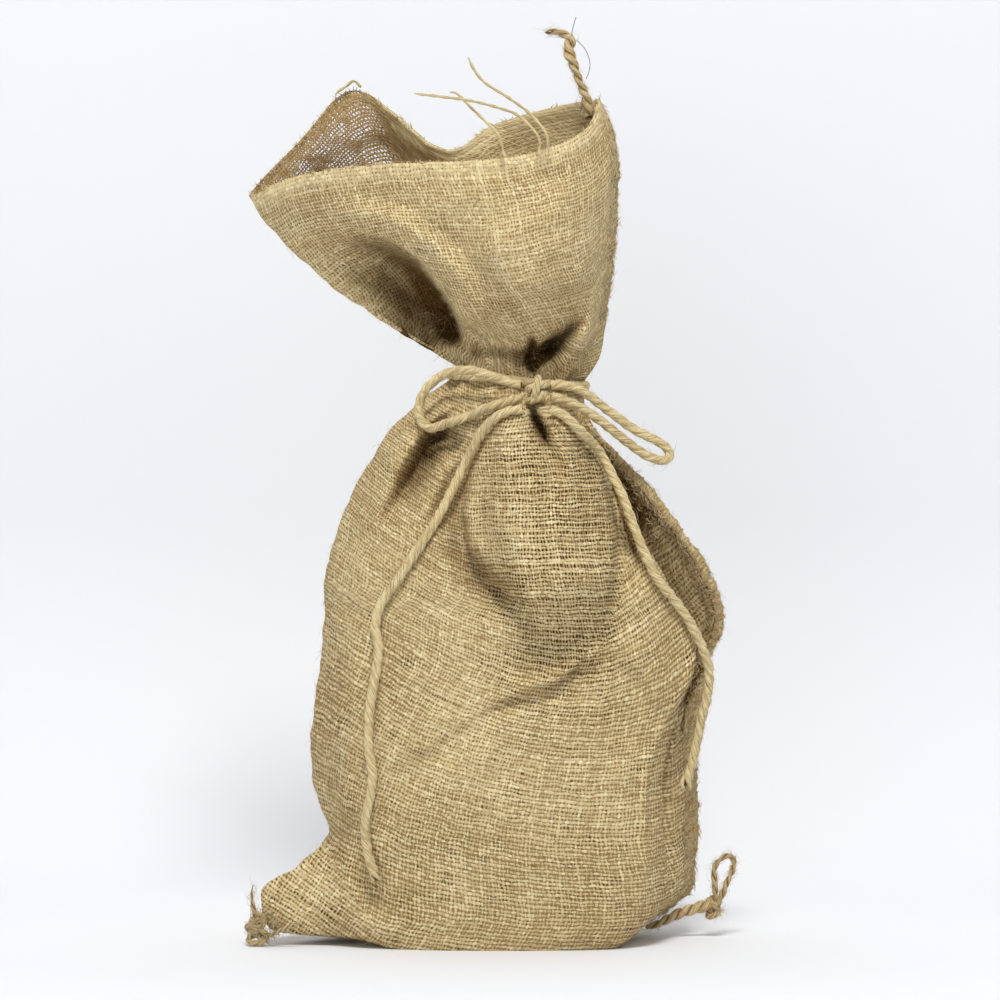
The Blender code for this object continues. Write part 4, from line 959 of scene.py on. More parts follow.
def quad_corners(values, flip=False):
    """Values at the four corners of each quad, from a grid with its last column repeated."""
    corners = (values[:-1, :-1], values[:-1, 1:], values[1:, 1:], values[1:, :-1])
    corners = np.stack(corners, axis=2).reshape(-1, 4)
    return corners[:, ::-1] if flip else corners


def quads_inside(inside):
    """Which quads have more than half of their corners inside."""
    return quad_corners(inside.astype(float)).mean(axis=1)[:, None] > 0.5


def outer_weave(u, v_rim, x, z, tie_row):
    """Places in the flat cloth of the outer wall's quads: each part has its own rule."""
    column = np.arange(x.shape[1])
    (left_z, left_x), (right_z, right_x) = np.transpose(DRAPE_LEFT), np.transpose(DRAPE_RIGHT)
    in_drape = quads_inside(
        (x > np.interp(z, left_z, left_x)) & (x < np.interp(z, right_z, right_x))
        & (z > left_z[0]) & (column > PLACES[1]) & (column < PLACES[4]))
    above = np.repeat(np.arange(len(x) - 1) >= tie_row, x.shape[1] - 1)[:, None]
    beside = quads_inside((x > BESIDE_NECK[0]) & (z > BESIDE_NECK[1]))
    in_ear = quads_inside(x < EAR_FOLD[0] + (EAR_FOLD[1] - z) * EAR_FOLD[2])

    quad_u = quad_corners(u)
    lean_u, lean_v = (quad_corners(part) for part in leaning_weave(u, x, z))
    outer_u = np.where(in_drape | above | beside, quad_u, lean_u)
    # The drape's own rows run nearly level; its edges are hidden in the valleys beside it
    level = quad_corners(z + LEVEL_SAG * (x - DRAPE_MIDDLE) ** 2)
    outer_v = np.where(in_drape, level, np.where(beside, quad_corners(z), lean_v))
    # The ear is laid out flat, its rows running down to the right
    c, s = math.cos(EAR_TURN), math.sin(EAR_TURN)
    outer_u = np.where(in_ear, quad_corners(c * x - s * z), outer_u)
    outer_v = np.where(in_ear, quad_corners(s * x + c * z), outer_v)
    return outer_u, np.where(above, quad_corners(v_rim + COLLAR_WEAVE), outer_v)


# ---- The cloth's mesh ----

INNER_THICKNESS = 2.2      # of the coarser, hidden wall below the mouth
INNER_STEP = 4             # its rows are this many times further apart
MOUTH_BACK = 7.4           # place where the see-through cloth at the mouth's back starts
MOUTH_BACK_HEIGHT = 262.0
SEE_THROUGH_THINNING = 0.8
STRETCHED = (24.0, 158.0)  # x and z of the middle of what the drape stretches
FAR_FROM_SEAM = 9.0
FAR_FROM_RIM = 300.0
SEAM_TOP = 206.0           # height at which the seam goes into the tie
HEM_BY_SEAM = (4.0, 10.0)  # width of the hem beside it, above and below the slack,
SLACK_HEIGHT = 124.0       # whose top is at this height
SHELTER_REACH = 60.0       # cloth further away than this casts no shade
SHELTER_EASING = 3         # passes that even out what the few rays miss
SHELTER_RAYS = 26
SHELTER_STEPS = (2, 4)     # spacing of the points looked from on the outer and inner wall


def build_mesh(name, points, faces, material, uv=None, attributes=None, smooth=True):
    """A piece from points in millimetres and arrays of faces, one face to a row."""
    data = bpy.data.meshes.new(name)
    data.vertices.add(len(points))
    data.vertices.foreach_set("co", (points * MM).ravel())
    loops = np.concatenate([part.ravel() for part in faces])
    data.loops.add(len(loops))
    data.loops.foreach_set("vertex_index", loops)
    counts = np.concatenate([np.full(len(part), part.shape[1]) for part in faces])
    data.polygons.add(len(counts))
    data.polygons.foreach_set("loop_start", np.concatenate(([0], np.cumsum(counts)[:-1])))
    if uv is not None:
        layer, places = uv
        data.uv_layers.new(name=layer).data.foreach_set("uv", places.ravel())
    for key, values in (attributes or {}).items():
        data.attributes.new(key, "FLOAT", "POINT").data.foreach_set("value", values)
    data.update(calc_edges=True)
    data.validate()
    data.materials.append(material)
    if smooth:
        data.shade_smooth()
    piece = link_object(name, data)
    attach(piece, "root")
    return piece


def shelter(points, normals, surface, every):
    """Share of the sky over each point that other cloth hides."""
    rows = np.unique(np.append(np.arange(0, len(points), every), len(points) - 1))
    columns = np.arange(0, points.shape[1], every)
    turn = np.arange(SHELTER_RAYS) * math.pi * (3.0 - math.sqrt(5.0))
    sine = np.sqrt((np.arange(SHELTER_RAYS) + 0.5) / SHELTER_RAYS)
    rays = np.column_stack((sine * np.cos(turn), sine * np.sin(turn), np.sqrt(1.0 - sine ** 2)))
    hidden = np.zeros((len(rows), len(columns)))
    for i, row in enumerate(rows):
        for j, column in enumerate(columns):
            normal = Vector(normals[row, column])
            turned = normal.to_track_quat("Z", "Y")
            start = Vector(points[row, column]) + normal * 0.5
            for ray in rays:
                hit = surface.ray_cast(start, turned @ Vector(ray), SHELTER_REACH)
                if hit[0] is not None:
                    hidden[i, j] += 1.0 - hit[3] / SHELTER_REACH
    for _ in range(SHELTER_EASING):
        hidden = (np.roll(hidden, 1, axis=1) + 2.0 * hidden + np.roll(hidden, -1, axis=1)) / 4.0
        padded = np.pad(hidden, ((1, 1), (0, 0)), mode="edge")
        hidden = (padded[:-2] + 2.0 * hidden + padded[2:]) / 4.0
    hidden = np.concatenate((hidden, hidden[:, :1]), axis=1) / SHELTER_RAYS
    columns = np.append(columns, points.shape[1])
    wanted = np.arange(points.shape[1])
    along = np.array([np.interp(wanted, columns, line) for line in hidden])
    wanted = np.arange(len(points))
    return np.array([np.interp(wanted, rows, line) for line in along.T]).T


def inner_surface(rings, normals, open_cloth, mouth_row):
    """Inner surface of the cloth. Its front is kept behind every trough its rows span."""
    wall = np.full(len(rings), CLOTH_THICKNESS)
    wall[:mouth_row] = INNER_THICKNESS
    inner = rings - normals * (wall[:, None] * (1.0 - SEE_THROUGH_THINNING * open_cloth))[:, :, None]
    front = slice(PLACES[1], PLACES[4])
    spread = np.pad(inner[:mouth_row, front, 1], ((INNER_STEP, INNER_STEP), (0, 0)), mode="edge")
    inner[:mouth_row, front, 1] = np.max(
        [spread[k:k + mouth_row] for k in range(2 * INNER_STEP + 1)], axis=0)
    return inner


def openness(rings, places):
    """How open the weave is: most where the drape stretches it, and on the ear."""
    x, z = rings[:, :, 0], rings[:, :, 2]
    stretched = (smooth_step(1.3 - np.abs(x - STRETCHED[0]) / 30.0)
                 * smooth_step(1.5 - np.abs(z - STRETCHED[1]) / 50.0) * (places < 4.0)[None, :])
    on_ear = 0.4 * smooth_step((-60.0 - x) / 10.0) * smooth_step((46.0 - z) / 12.0)
    return np.clip(stretched + 0.25 * (z < 214.0) + on_ear, 0.0, 1.0)


def distance_from_seam(rings):
    """Distance from the right side's seam, in widths of the hem turned in beside it."""
    z = rings[:, :FRONT_STEPS, 2]
    hem = np.linalg.norm(np.diff(rings[:, :FRONT_STEPS + 1], axis=1), axis=2)
    hem = np.cumsum(hem[:, ::-1], axis=1)[:, ::-1]
    narrow, wide = HEM_BY_SEAM
    hem /= narrow + (wide - narrow) * smooth_step((SLACK_HEIGHT - z) / 14.0)
    seam = np.full(rings.shape[:2], FAR_FROM_SEAM)
    seam[:, :FRONT_STEPS] = np.where(z < SEAM_TOP, hem, FAR_FROM_SEAM)
    seam[:, FRONT_STEPS] = np.where(rings[:, FRONT_STEPS, 2] < SEAM_TOP, 0.0, FAR_FROM_SEAM)
    return seam


def sack_faces(rows, inner_rows, columns):
    """Faces of the outer and inner walls, of the mouth's edge, and of the base's two sides."""
    here = np.arange(columns)
    after = (here + 1) % columns
    inner_start = rows * columns
    outer_edge = inner_start - columns
    inner_edge = inner_start + (inner_rows - 1) * columns
    base_centre = np.full(columns, inner_edge + columns)
    return [grid_faces(rows, columns), grid_faces(inner_rows, columns, inner_start, flip=True),
            np.column_stack((outer_edge + here, outer_edge + after, inner_edge + after,
                             inner_edge + here)),
            np.column_stack((after, here, base_centre)),
            np.column_stack((inner_start + here, inner_start + after, base_centre + 1))]


def wall_shade(rings, inner, normals, surface):
    """Painted shade of the outer and the inner wall: how far other cloth hides them from the light.
    """
    outside = shelter(rings, normals, surface, SHELTER_STEPS[0])
    front = rings[:, :PLACES[5]]
    # the lines of painted shade are added on the front
    outside[:, :PLACES[5]] += fold_depth(front[:, :, 0], front[:, :, 2], PAINTED_SHADE_LINES)
    return outside, shelter(inner, -normals, surface, SHELTER_STEPS[1])


def build_sack(material):
    """The cloth as one closed sheet: outer wall, inner wall, the mouth's edge and the base."""
    rings, cloth = sack_rings()
    rows, columns = rings.shape[:2]
    normals = outward_normals(rings)
    u, v_rim, x, z = weave_places(cloth)
    tie_row = int(np.argmax(rings[:, :, 2].mean(axis=1) > TIE_HEIGHT))
    mouth_row = tie_row + INNER_STEP
    places = np.interp(np.arange(columns), PLACES, np.arange(len(PLACES)))
    open_cloth = (smooth_step((places - MOUTH_BACK) / 0.6)[None, :]
                  * smooth_step((rings[:, :, 2] - MOUTH_BACK_HEIGHT) / 14.0))
    inner = inner_surface(rings, normals, open_cloth, mouth_row)
    # The mouth's inner wall is at full fineness, and the hidden part below the tie coarser
    inner_rows = np.concatenate((np.arange(2, mouth_row - 2, INNER_STEP), np.arange(mouth_row, rows)))
    centres = [rings[0].mean(axis=0), inner[inner_rows[0]].mean(axis=0)]
    points = np.concatenate((rings.reshape(-1, 3), inner[inner_rows].reshape(-1, 3), centres))
    faces = sack_faces(rows, len(inner_rows), columns)

    outer_u, outer_v = outer_weave(u, v_rim, x, z, tie_row)
    inner_u = quad_corners(u[inner_rows], flip=True)
    inner_v = quad_corners((v_rim + COLLAR_WEAVE)[inner_rows], flip=True)
    edge_u = u[-1][np.arange(columns)[:, None] + (0, 1, 1, 0)]
    edge_v = np.full((columns, 4), COLLAR_WEAVE) + (0.0, 0.0, WEFT_PITCH, WEFT_PITCH)
    base = points[np.concatenate(faces[3:]).ravel()]
    uv = np.column_stack((
        np.concatenate((outer_u.ravel(), inner_u.ravel(), edge_u.ravel(), base[:, 0])),
        np.concatenate((outer_v.ravel(), inner_v.ravel(), edge_v.ravel(), base[:, 1]))))

    def both_walls(outer, inner, at_base=0.0):
        return np.concatenate((outer.ravel(), inner[inner_rows].ravel(), [at_base, at_base]))

    surface = BVHTree.FromPolygons(rings.reshape(-1, 3).tolist(), faces[0].tolist())
    to_rim = -v_rim[:, :-1]
    open_weave = openness(rings, places)
    seam = distance_from_seam(rings)
    attributes = {
        "rim": both_walls(to_rim, to_rim, FAR_FROM_RIM),
        "open_cloth": both_walls(open_cloth, open_cloth),
        # painted shade on the inner side of the see-through cloth at the mouth
        "inside_shade": both_walls(np.zeros_like(open_cloth), open_cloth),
        "open_weave": both_walls(open_weave, open_weave),
        "seam": both_walls(seam, np.full_like(seam, FAR_FROM_SEAM), FAR_FROM_SEAM),
        "painted_shade": both_walls(*wall_shade(rings, inner, normals, surface))}
    sack = build_mesh("sack_cloth", points, faces, material, ("weave", uv / UV_SCALE), attributes)
    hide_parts("sack")
    return surface, rings, normals


# ---- Twine and yarns ----

FINE_STEPS = 24            # steps from each point of a route to the next
TWINE_SPACING = 1.1        # spacing of the points along the finished routes
YARN_SPACING = 0.8
STITCH_SPACING = 0.7
THREAD_SPACING = 0.6
IN_FRONT = -200.0          # y well in front of the sack
LIFT_EASING = 5            # points over which a lifted stretch of a route eases out
NECK_POINTS = 72
NECK_EASING = 3            # passes that even out the route round the neck
STRAND_RADIUS = {2: 0.29, 3: 0.31}     # share of the cord's diameter, by number of strands
STRAND_WAVES = (7.0, 13.0, 29.0)       # lengths over which a spun strand swells and thins
STRAND_STRAY = 0.10        # how much further out it may run, as a share
STRAND_SWELL = 0.07        # and how much thicker it may be
FRAY_LENGTH = 7.0
TAPER_LENGTH = 5.0
KNOT_STRANDS = 3
KNOT_STRAND_RADIUS = 0.27
STITCHED = (9.0, 316.0)    # heights between which the right side is oversewn
STITCHES_HIDDEN = (198.0, 252.0)       # but for these, where it is in the tie
SEAM_BACK_OUT = 250.0      # height at which the seam comes out of the tie again


def even_line(line, spacing):
    """The same line with its points evenly spaced."""
    lengths = distances_along(line)
    wanted = np.linspace(0.0, lengths[-1], max(3, round(lengths[-1] / spacing) + 1))
    return np.column_stack([np.interp(wanted, lengths, line[:, k]) for k in range(3)])


def smooth_route(points, spacing):
    """Smooth curve through the points, evenly spaced."""
    points = np.array(points, dtype=float)
    padded = [2 * points[0] - points[1], *points, 2 * points[-1] - points[-2]]
    t = (np.arange(FINE_STEPS) / FINE_STEPS)[:, None]
    parts = [hermite(t, start, end, 0.5 * (end - before), 0.5 * (after - start))
             for before, start, end, after in zip(padded, padded[1:], padded[2:], padded[3:])]
    return even_line(np.concatenate((*parts, points[-1:])), spacing)


def lift_clear(route, surface, clearance):
    """Bring a route forward wherever the cloth would come nearer than the clearance."""
    reach = 0.8 * clearance
    needed = route[:, 1].copy()
    offsets = [(dx * reach, dz * reach) for dx in (-1, 0, 1) for dz in (-1, 0, 1)]
    for i, (x, _, z) in enumerate(route):
        for dx, dz in offsets:
            hit = surface.ray_cast(Vector((x + dx, IN_FRONT, z + dz)), Vector((0, 1, 0)))[0]
            if hit is not None:
                needed[i] = min(needed[i], hit.y - clearance)
    rise = np.arange(1, LIFT_EASING + 1)
    kernel = np.concatenate((rise, rise[-2::-1])) / LIFT_EASING ** 2
    eased = np.convolve(np.pad(needed, LIFT_EASING - 1, mode="edge"), kernel, mode="valid")
    lifted = route.copy()
    lifted[:, 1] = np.minimum(needed, eased)
    return lifted


def neck_route(surface, clearance, spacing):
    """Closed route round the gathered neck, a little clear of its pleats."""
    centre = Vector(NECK_CENTRE)
    angles = np.linspace(0, TURN, NECK_POINTS, endpoint=False)
    reaches = []
    for angle in angles:
        outward = Vector((math.cos(angle), math.sin(angle), 0.0))
        reach = 0.0
        for height in (-1, 0, 1):
            rise = height * clearance - NECK_LEAN * math.cos(angle)
            hit = surface.ray_cast(centre + outward * 60.0 + Vector((0.0, 0.0, rise)), -outward)[0]
            reach = max(reach, math.hypot(hit.x - centre.x, hit.y - centre.y))
        reaches.append(reach)
    widest = np.max([np.roll(reaches, k) for k in range(-2, 3)], axis=0)
    for _ in range(NECK_EASING):
        widest = np.maximum(widest, (np.roll(widest, 1) + widest + np.roll(widest, -1)) / 3)
    radius = widest + clearance
    points = np.column_stack((centre.x + radius * np.cos(angles), radius * np.sin(angles),
                              centre.z - NECK_LEAN * np.cos(angles)))
    return even_line(np.vstack((points, points[:1])), spacing)[:-1]


def unit(vectors):
    return vectors / np.linalg.norm(vectors, axis=-1, keepdims=True)


def frames_along(route, closed=False):
    """Directions along the route and two across it that turn with it as little as they can."""
    if closed:
        tangents = unit(np.roll(route, -1, axis=0) - np.roll(route, 1, axis=0))
        first = route - route.mean(axis=0)
        first = unit(first - (first * tangents).sum(axis=1)[:, None] * tangents)
    else:
        tangents = unit(np.gradient(route, axis=0))
        first = [unit(np.cross(tangents[0], (0.3, 0.9, 0.2)))]
        for tangent in tangents[1:]:
            first.append(unit(first[-1] - np.dot(first[-1], tangent) * tangent))
        first = np.array(first)
    return tangents, first, np.cross(tangents, first)


def across(first, second, angle):
    """Directions at an angle round a route, from the two that frames_along gives."""
    return first * np.cos(angle)[:, None] + second * np.sin(angle)[:, None]


def tube_rings(centres, first, second, radii, sides):
    angles = np.linspace(0, TURN, sides, endpoint=False)
    ring = (first[:, None, :] * np.cos(angles)[None, :, None]
            + second[:, None, :] * np.sin(angles)[None, :, None])
    return centres[:, None, :] + ring * radii[:, None, None]


class Tubes:
    """Collects tubes into one mesh, with strand coordinates and a groove value."""

    def __init__(self):
        self.points, self.quads, self.uvs, self.groove, self.caps = [], [], [], [], []
        self.count = 0

    def add(self, rings, lengths, groove, closed=False, shift=0.0):
        """A tube through rings of points, either joined end to end or capped."""
        rows, sides = rings.shape[:2]
        faces = grid_faces(rows, sides, self.count)
        last = self.count + (rows - 1) * sides
        round_it = np.arange(sides + 1) / sides / STRANDS_IN_UV
        u = round_it[None, :] + np.zeros((rows, 1))
        v = ((lengths + shift) / UV_SCALE)[:, None] + np.zeros((1, sides + 1))
        uv = np.stack((quad_corners(u), quad_corners(v)), axis=2)
        if closed:
            c = np.arange(sides)
            n = (c + 1) % sides
            faces = np.concatenate((faces, np.column_stack((last + c, last + n, self.count + n,
                                                            self.count + c))))
            u = np.stack((round_it[:-1], round_it[1:], round_it[1:], round_it[:-1]), axis=1)
            uv = np.concatenate((uv, np.stack((u, np.full_like(u, v[-1, 0])), axis=2)))
        else:
            first = self.count + np.arange(sides)
            self.caps += [(first[::-1], v[0, 0]), (last + np.arange(sides), v[-1, 0])]
        self.quads.append(faces)
        self.uvs.append(uv.reshape(-1, 2))
        self.points.append(rings.reshape(-1, 3))
        self.groove.append(groove.ravel())
        self.count += rows * sides

    def add_plain(self, path, lengths, radii, sides, groove=1.0, shift=0.0):
        """A round tube along a path, with one groove value."""
        _, first, second = frames_along(path)
        self.add(tube_rings(path, first, second, radii, sides), lengths,
                 np.full((len(path), sides), groove), shift=shift)

    def add_strand(self, route, centres, radii, half, sides, lengths, closed, shift):
        """A strand of a cord of this half width; its groove value is 0 where strands meet."""
        _, first, second = frames_along(centres, closed)
        rings = tube_rings(centres, first, second, radii, sides)
        away = np.linalg.norm(rings - route[:, None, :], axis=2)
        groove = np.clip((away / half - 0.55) / 0.4, 0.0, 1.0)
        self.add(rings, lengths, groove, closed, shift)

    def build(self, name, material):
        uvs = self.uvs + [np.column_stack((np.linspace(0, 1.0 / STRANDS_IN_UV, len(cap)),
                                           np.full(len(cap), v))) for cap, v in self.caps]
        faces = self.quads + [cap[None, :] for cap, _ in self.caps]
        return build_mesh(name, np.concatenate(self.points), faces, material,
                          ("strand", np.concatenate(uvs)),
                          {"groove": np.concatenate(self.groove)})


def lengths_round(route):
    """Distance of each point of a closed route from its first, and the length round it."""
    steps = np.linalg.norm(np.diff(route, axis=0, append=route[:1]), axis=1)
    return np.concatenate(([0.0], np.cumsum(steps)[:-1])), steps.sum()


def laid_cord(name, route, diameter, pitch, strands, material, closed=False, fray=0.0,
              sizes=(1.0, 1.0)):
    """Cord of several strands laid round each other, left-handed, in one mesh.

    The sizes, evenly spaced along the cord, multiply its diameter.
    """
    _, first, second = frames_along(route, closed)
    lengths, total = lengths_round(route)
    if closed:
        pitch = total / max(1, round(total / pitch))
    else:
        total = lengths[-1]
    size = np.interp(lengths / total, np.linspace(0.0, 1.0, len(sizes)), sizes)
    strand_radius = diameter * STRAND_RADIUS[strands]
    orbit = 0.5 * diameter - strand_radius
    tubes = Tubes()
    phase = random.uniform(0, TURN)
    for k in range(strands):
        # Spun strands are never quite even, except round the neck, where ends have to meet
        bumps = sum(np.sin(lengths * TURN / wave + random.uniform(0, TURN))
                    for wave in STRAND_WAVES) / len(STRAND_WAVES)
        bumps = bumps * (0.0 if closed else 1.0)
        spread = size * (1.0 + STRAND_STRAY * bumps)
        radii = strand_radius * size * (1.0 + STRAND_SWELL * bumps)
        if fray:
            frayed = smooth_step((lengths - total + FRAY_LENGTH) / FRAY_LENGTH)
            spread = spread + fray * (1.5 + k) * frayed
            taper = smooth_step((lengths - total + TAPER_LENGTH) / TAPER_LENGTH)
            radii = radii * (1.0 - 0.45 * taper)
        angle = phase + TURN * k / strands - TURN * lengths / pitch
        centres = route + orbit * spread[:, None] * across(first, second, angle)
        tubes.add_strand(route, centres, radii, 0.5 * diameter * size[:, None], 10, lengths, closed,
                         37.0 * k + random.uniform(0, 90))
    return tubes.build(name, material)


def stand_for(piece, node):
    """The piece is seen in place of a CAD node, which is hidden."""
    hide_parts(node)


def declare_cord(piece, node):
    stand_for(piece, node)


def build_twine(surface, material):
    """The twine round the neck, and the bow's loops and tails; gives their routes."""
    wrap = neck_route(surface, WRAP_BEDDING, 1.2)
    piece = laid_cord("tie_wrap", wrap, TWINE_DIAMETER, TWINE_PITCH, 3, material, closed=True)
    stand_for(piece, "twine_wrap")
    parts = (("loop_left", LOOP_LEFT, "object", "loose", 0.0),
             ("loop_right", LOOP_RIGHT, "object", "loose", 0.0),
             ("tail_left", TAIL_LEFT, "bare", "hanging", 0.25),
             ("tail_right", TAIL_RIGHT, "bare", "hanging", 0.6))
    routes = []
    for part, points, far_end, lay, fray in parts:
        route = smooth_route(points, TWINE_SPACING)
        route = even_line(lift_clear(route, surface, 0.5 * TWINE_DIAMETER + GAP), TWINE_SPACING)
        piece = laid_cord("tie_" + part, route, TWINE_DIAMETER, TWINE_PITCH, 3, material, fray=fray)
        declare_cord(piece, "twine_" + part)
        routes.append(route)
    return routes


def build_knot(name, node, centre, turns, diameter, material):
    """Knot made of short turns of the same cord round its middle."""
    tubes = Tubes()
    angles = np.linspace(0, TURN, 40, endpoint=False)
    strand_radius = KNOT_STRAND_RADIUS * diameter
    for half_width, half_depth, rise, tilt, lean in turns:
        loop = np.column_stack((half_width * np.cos(angles), half_depth * np.sin(angles),
                                np.zeros_like(angles)))
        c, s = math.cos(tilt), math.sin(tilt)
        loop = loop @ np.array(((1, 0, 0), (0, c, s), (0, -s, c)))
        c, s = math.cos(lean), math.sin(lean)
        loop = loop @ np.array(((c, 0, s), (0, 1, 0), (-s, 0, c)))
        loop = loop + np.array(centre) + (0.0, 0.0, rise)
        _, first, second = frames_along(loop, closed=True)
        lengths, total = lengths_round(loop)
        for k in range(KNOT_STRANDS):
            angle = TURN * k / KNOT_STRANDS - TURN * 2.0 * lengths / total
            centres = loop + (0.5 * diameter - strand_radius) * across(first, second, angle)
            tubes.add_strand(loop, centres, np.full(len(loop), strand_radius), 0.5 * diameter, 8,
                             lengths, True, 23.0 * k)
    stand_for(tubes.build(name, material), node)


def build_seam_yarn(surface, material):
    """The seam yarn's ends and knots; gives the routes of its ends."""
    parts = (("seam_end_top", "seam_yarn_top", SEAM_END_TOP, "bare", 0.12,
              (1.5, 1.3, 1.1, 1.1, 1.6, 1.5, 0.9, 0.75)),
             ("seam_end_left", "seam_yarn_left", SEAM_END_LEFT, "bare", 0.0, (1.0, 0.75, 0.4, 0.2)),
             ("seam_end_right", "seam_yarn_right", SEAM_TAIL_RIGHT, "bare", 0.0,
              (0.8, 1.25, 1.55, 1.7)),
             ("seam_end_loop", "seam_loop_right", SEAM_LOOP_RIGHT, "object", 0.0,
              (0.95, 0.8, 0.75, 0.8, 0.95)))
    routes = []
    for name, node, points, far_end, fray, sizes in parts:
        route = smooth_route(points, YARN_SPACING)
        routes.append(route)
        piece = laid_cord(name, route, SEAM_YARN_DIAMETER, SEAM_YARN_PITCH, 2, material,
                          fray=fray, sizes=sizes)
        declare_cord(piece, node)
    build_knot("seam_end_knot_left", "seam_knot_left", SEAM_KNOT_LEFT,
               LEFT_KNOT_TURNS, 2.6, material)
    build_knot("seam_end_knot_right", "seam_knot_right", SEAM_KNOT_RIGHT,
               RIGHT_KNOT_TURNS, 2.4, material)
    under = lift_clear(smooth_route(SEAM_END_UNDER, YARN_SPACING), surface, 0.6)
    piece = laid_cord("seam_end_under", under, 1.9, 6.0, 2, material, fray=0.5)
    return routes


def build_loose_yarns(material):
    """The warps pulled out of the mouth's edge."""
    for node, points in zip(("loose_yarn_a", "loose_yarn_b", "loose_yarn_c", "loose_yarn_loop"),
                            LOOSE_YARNS):
        route = smooth_route(points, YARN_SPACING)
        lengths = distances_along(route)
        swell = 0.85 + 0.15 * np.sin(lengths * 1.3)
        taper = 1.0 - 0.5 * smooth_step((lengths - lengths[-1] + 4.0) / 4.0)
        tubes = Tubes()
        tubes.add_plain(route, lengths, 0.5 * LOOSE_YARN_DIAMETER * swell * taper, 8)
        declare_cord(tubes.build(node + "_fibre", material), node)


def dark_thread(material):
    """The sewing thread that curls out of the yarn at the mouth."""
    tubes = Tubes()
    for points in DARK_THREAD:
        path = even_line(smooth_route(points, THREAD_SPACING), THREAD_SPACING)
        tubes.add_plain(path, THREAD_SPACING * np.arange(len(path)), np.full(len(path), 0.14), 6)
    tubes.build("dark_thread", material)


def overcast_seam(rings, normals, material):
    """Stitches of yarn that oversew the right side, over its ridge, but for the tied neck."""
    tubes = Tubes()
    heights = rings[:, FRONT_STEPS, 2]
    offsets = np.linspace(-1.0, 1.0, 9)
    above = 0.1 - 0.9 * np.abs(offsets) ** 6
    z = STITCHED[0]
    while z < STITCHED[1]:
        if not STITCHES_HIDDEN[0] < z < STITCHES_HIDDEN[1]:
            row = int(np.argmax(heights > z))
            lean = int(random.integers(1, 4))
            reach = random.uniform(2.2, 4.2)
            columns = np.round(FRONT_STEPS + reach * offsets).astype(int)
            rows = np.clip(np.round(row + lean * offsets).astype(int), 0, len(rings) - 1)
            path = rings[rows, columns] + normals[rows, columns] * above[:, None]
            path = even_line(smooth_route(path, STITCH_SPACING), STITCH_SPACING)
            lengths = STITCH_SPACING * np.arange(len(path))
            radii = random.uniform(0.30, 0.48) * (1.0 + 0.12 * np.sin(lengths * 2.6))
            tubes.add_plain(path, lengths, radii, 7, groove=0.7, shift=random.uniform(0, 90))
        z += random.uniform(2.2, 5.2)
    tubes.build("seam_stitches", material)


# ---- Fibres ----

FIBRE_SIDES = 3
FIBRE_TAPER = np.reshape((1.0, 0.8, 0.5), (1, 3, 1, 1))      # widths along it, before the tip
CLOTH_FIBRES = 5200
RIM_FIBRES = 520
SEAM_FIBRES = 2600


def signs(count):
    return random.choice((-1.0, 1.0), (count, 1))


def build_fibres(name, roots, outward, along, lengths, radius, lift, material):
    """Short bent fibres, each a thin pointed tube that leaves the surface at its root."""
    count = len(roots)
    sideways = np.cross(outward, along)
    bend = random.uniform(-0.5, 0.5, (count, 1))
    rise = random.uniform(0.3, 1.0, (count, 1)) * lift
    size = lengths[:, None]
    tip_rise = rise * random.uniform(0.4, 1.4, (count, 1))
    path = np.stack((roots - 0.2 * outward,
                     roots + (along * 0.35 + outward * 0.7 * rise) * size,
                     roots + ((along + bend * sideways) * 0.7 + outward * rise) * size,
                     roots + (along + 2.0 * bend * sideways + outward * tip_rise) * size), axis=1)
    angles = np.linspace(0, TURN, FIBRE_SIDES, endpoint=False)[None, :, None]
    side = outward[:, None, :] * np.cos(angles) + sideways[:, None, :] * np.sin(angles)
    widths = radius * random.uniform(0.6, 1.3, (count, 1, 1, 1)) * FIBRE_TAPER
    rings = path[:, :3, None, :] + side[:, None, :, :] * widths
    points = np.concatenate((rings.reshape(count, 9, 3), path[:, 3:]), axis=1)
    # None goes through the floor
    floor = 0.1 + 0.2 * np.abs(np.sin(points[:, :, 0] * 9.0))
    points[:, :, 2] = np.maximum(points[:, :, 2], floor)
    quads = grid_faces(3, FIBRE_SIDES)
    tips = np.array([(6, 7, 9), (7, 8, 9), (8, 6, 9), (2, 1, 0)])
    starts = (10 * np.arange(count))[:, None, None]
    faces = [(starts + part).reshape(-1, part.shape[1]) for part in (quads, tips)]
    tone = np.repeat(random.uniform(0, 1, count), 10)
    piece = build_mesh(name, points.reshape(-1, 3), faces, material, attributes={"tone": tone},
                       smooth=False)


def fibres_on_cloth(rings, normals, material):
    """Loose fibres all over the cloth, and a fringe of cut ends along the mouth's edge."""
    rows, columns = rings.shape[:2]
    count = CLOTH_FIBRES
    row, column = random.integers(2, rows - 1, count), random.integers(0, columns, count)
    spread = random.uniform(0, 1, (count, 1))
    roots = rings[row, column] * spread + rings[row, (column + 1) % columns] * (1 - spread)
    outward = normals[row, column]
    along = unit(np.cross(outward, random.normal(size=(count, 3))))
    build_fibres("cloth_fibres", roots, outward, along,
                 random.uniform(1.5, 6.5, count), 0.07, 0.35, material)

    count = RIM_FIBRES
    column = random.integers(0, columns, count)
    after = (column + 1) % columns
    spread = random.uniform(0, 1, (count, 1))
    up = unit(rings[-1, column] - rings[-3, column])
    outward = normals[-1, column]
    roots = (rings[-1, column] * spread + rings[-1, after] * (1 - spread)
             - up * random.uniform(0.0, 0.8, (count, 1))
             - outward * random.uniform(-0.1, 1.5, (count, 1)))
    around = unit(rings[-1, after] - rings[-1, column])
    along = unit(up + random.normal(0, 0.7, (count, 1)) * around)
    build_fibres("rim_fringe", roots, outward, along,
                 random.uniform(0.6, 2.6, count), 0.22, 0.25, material)


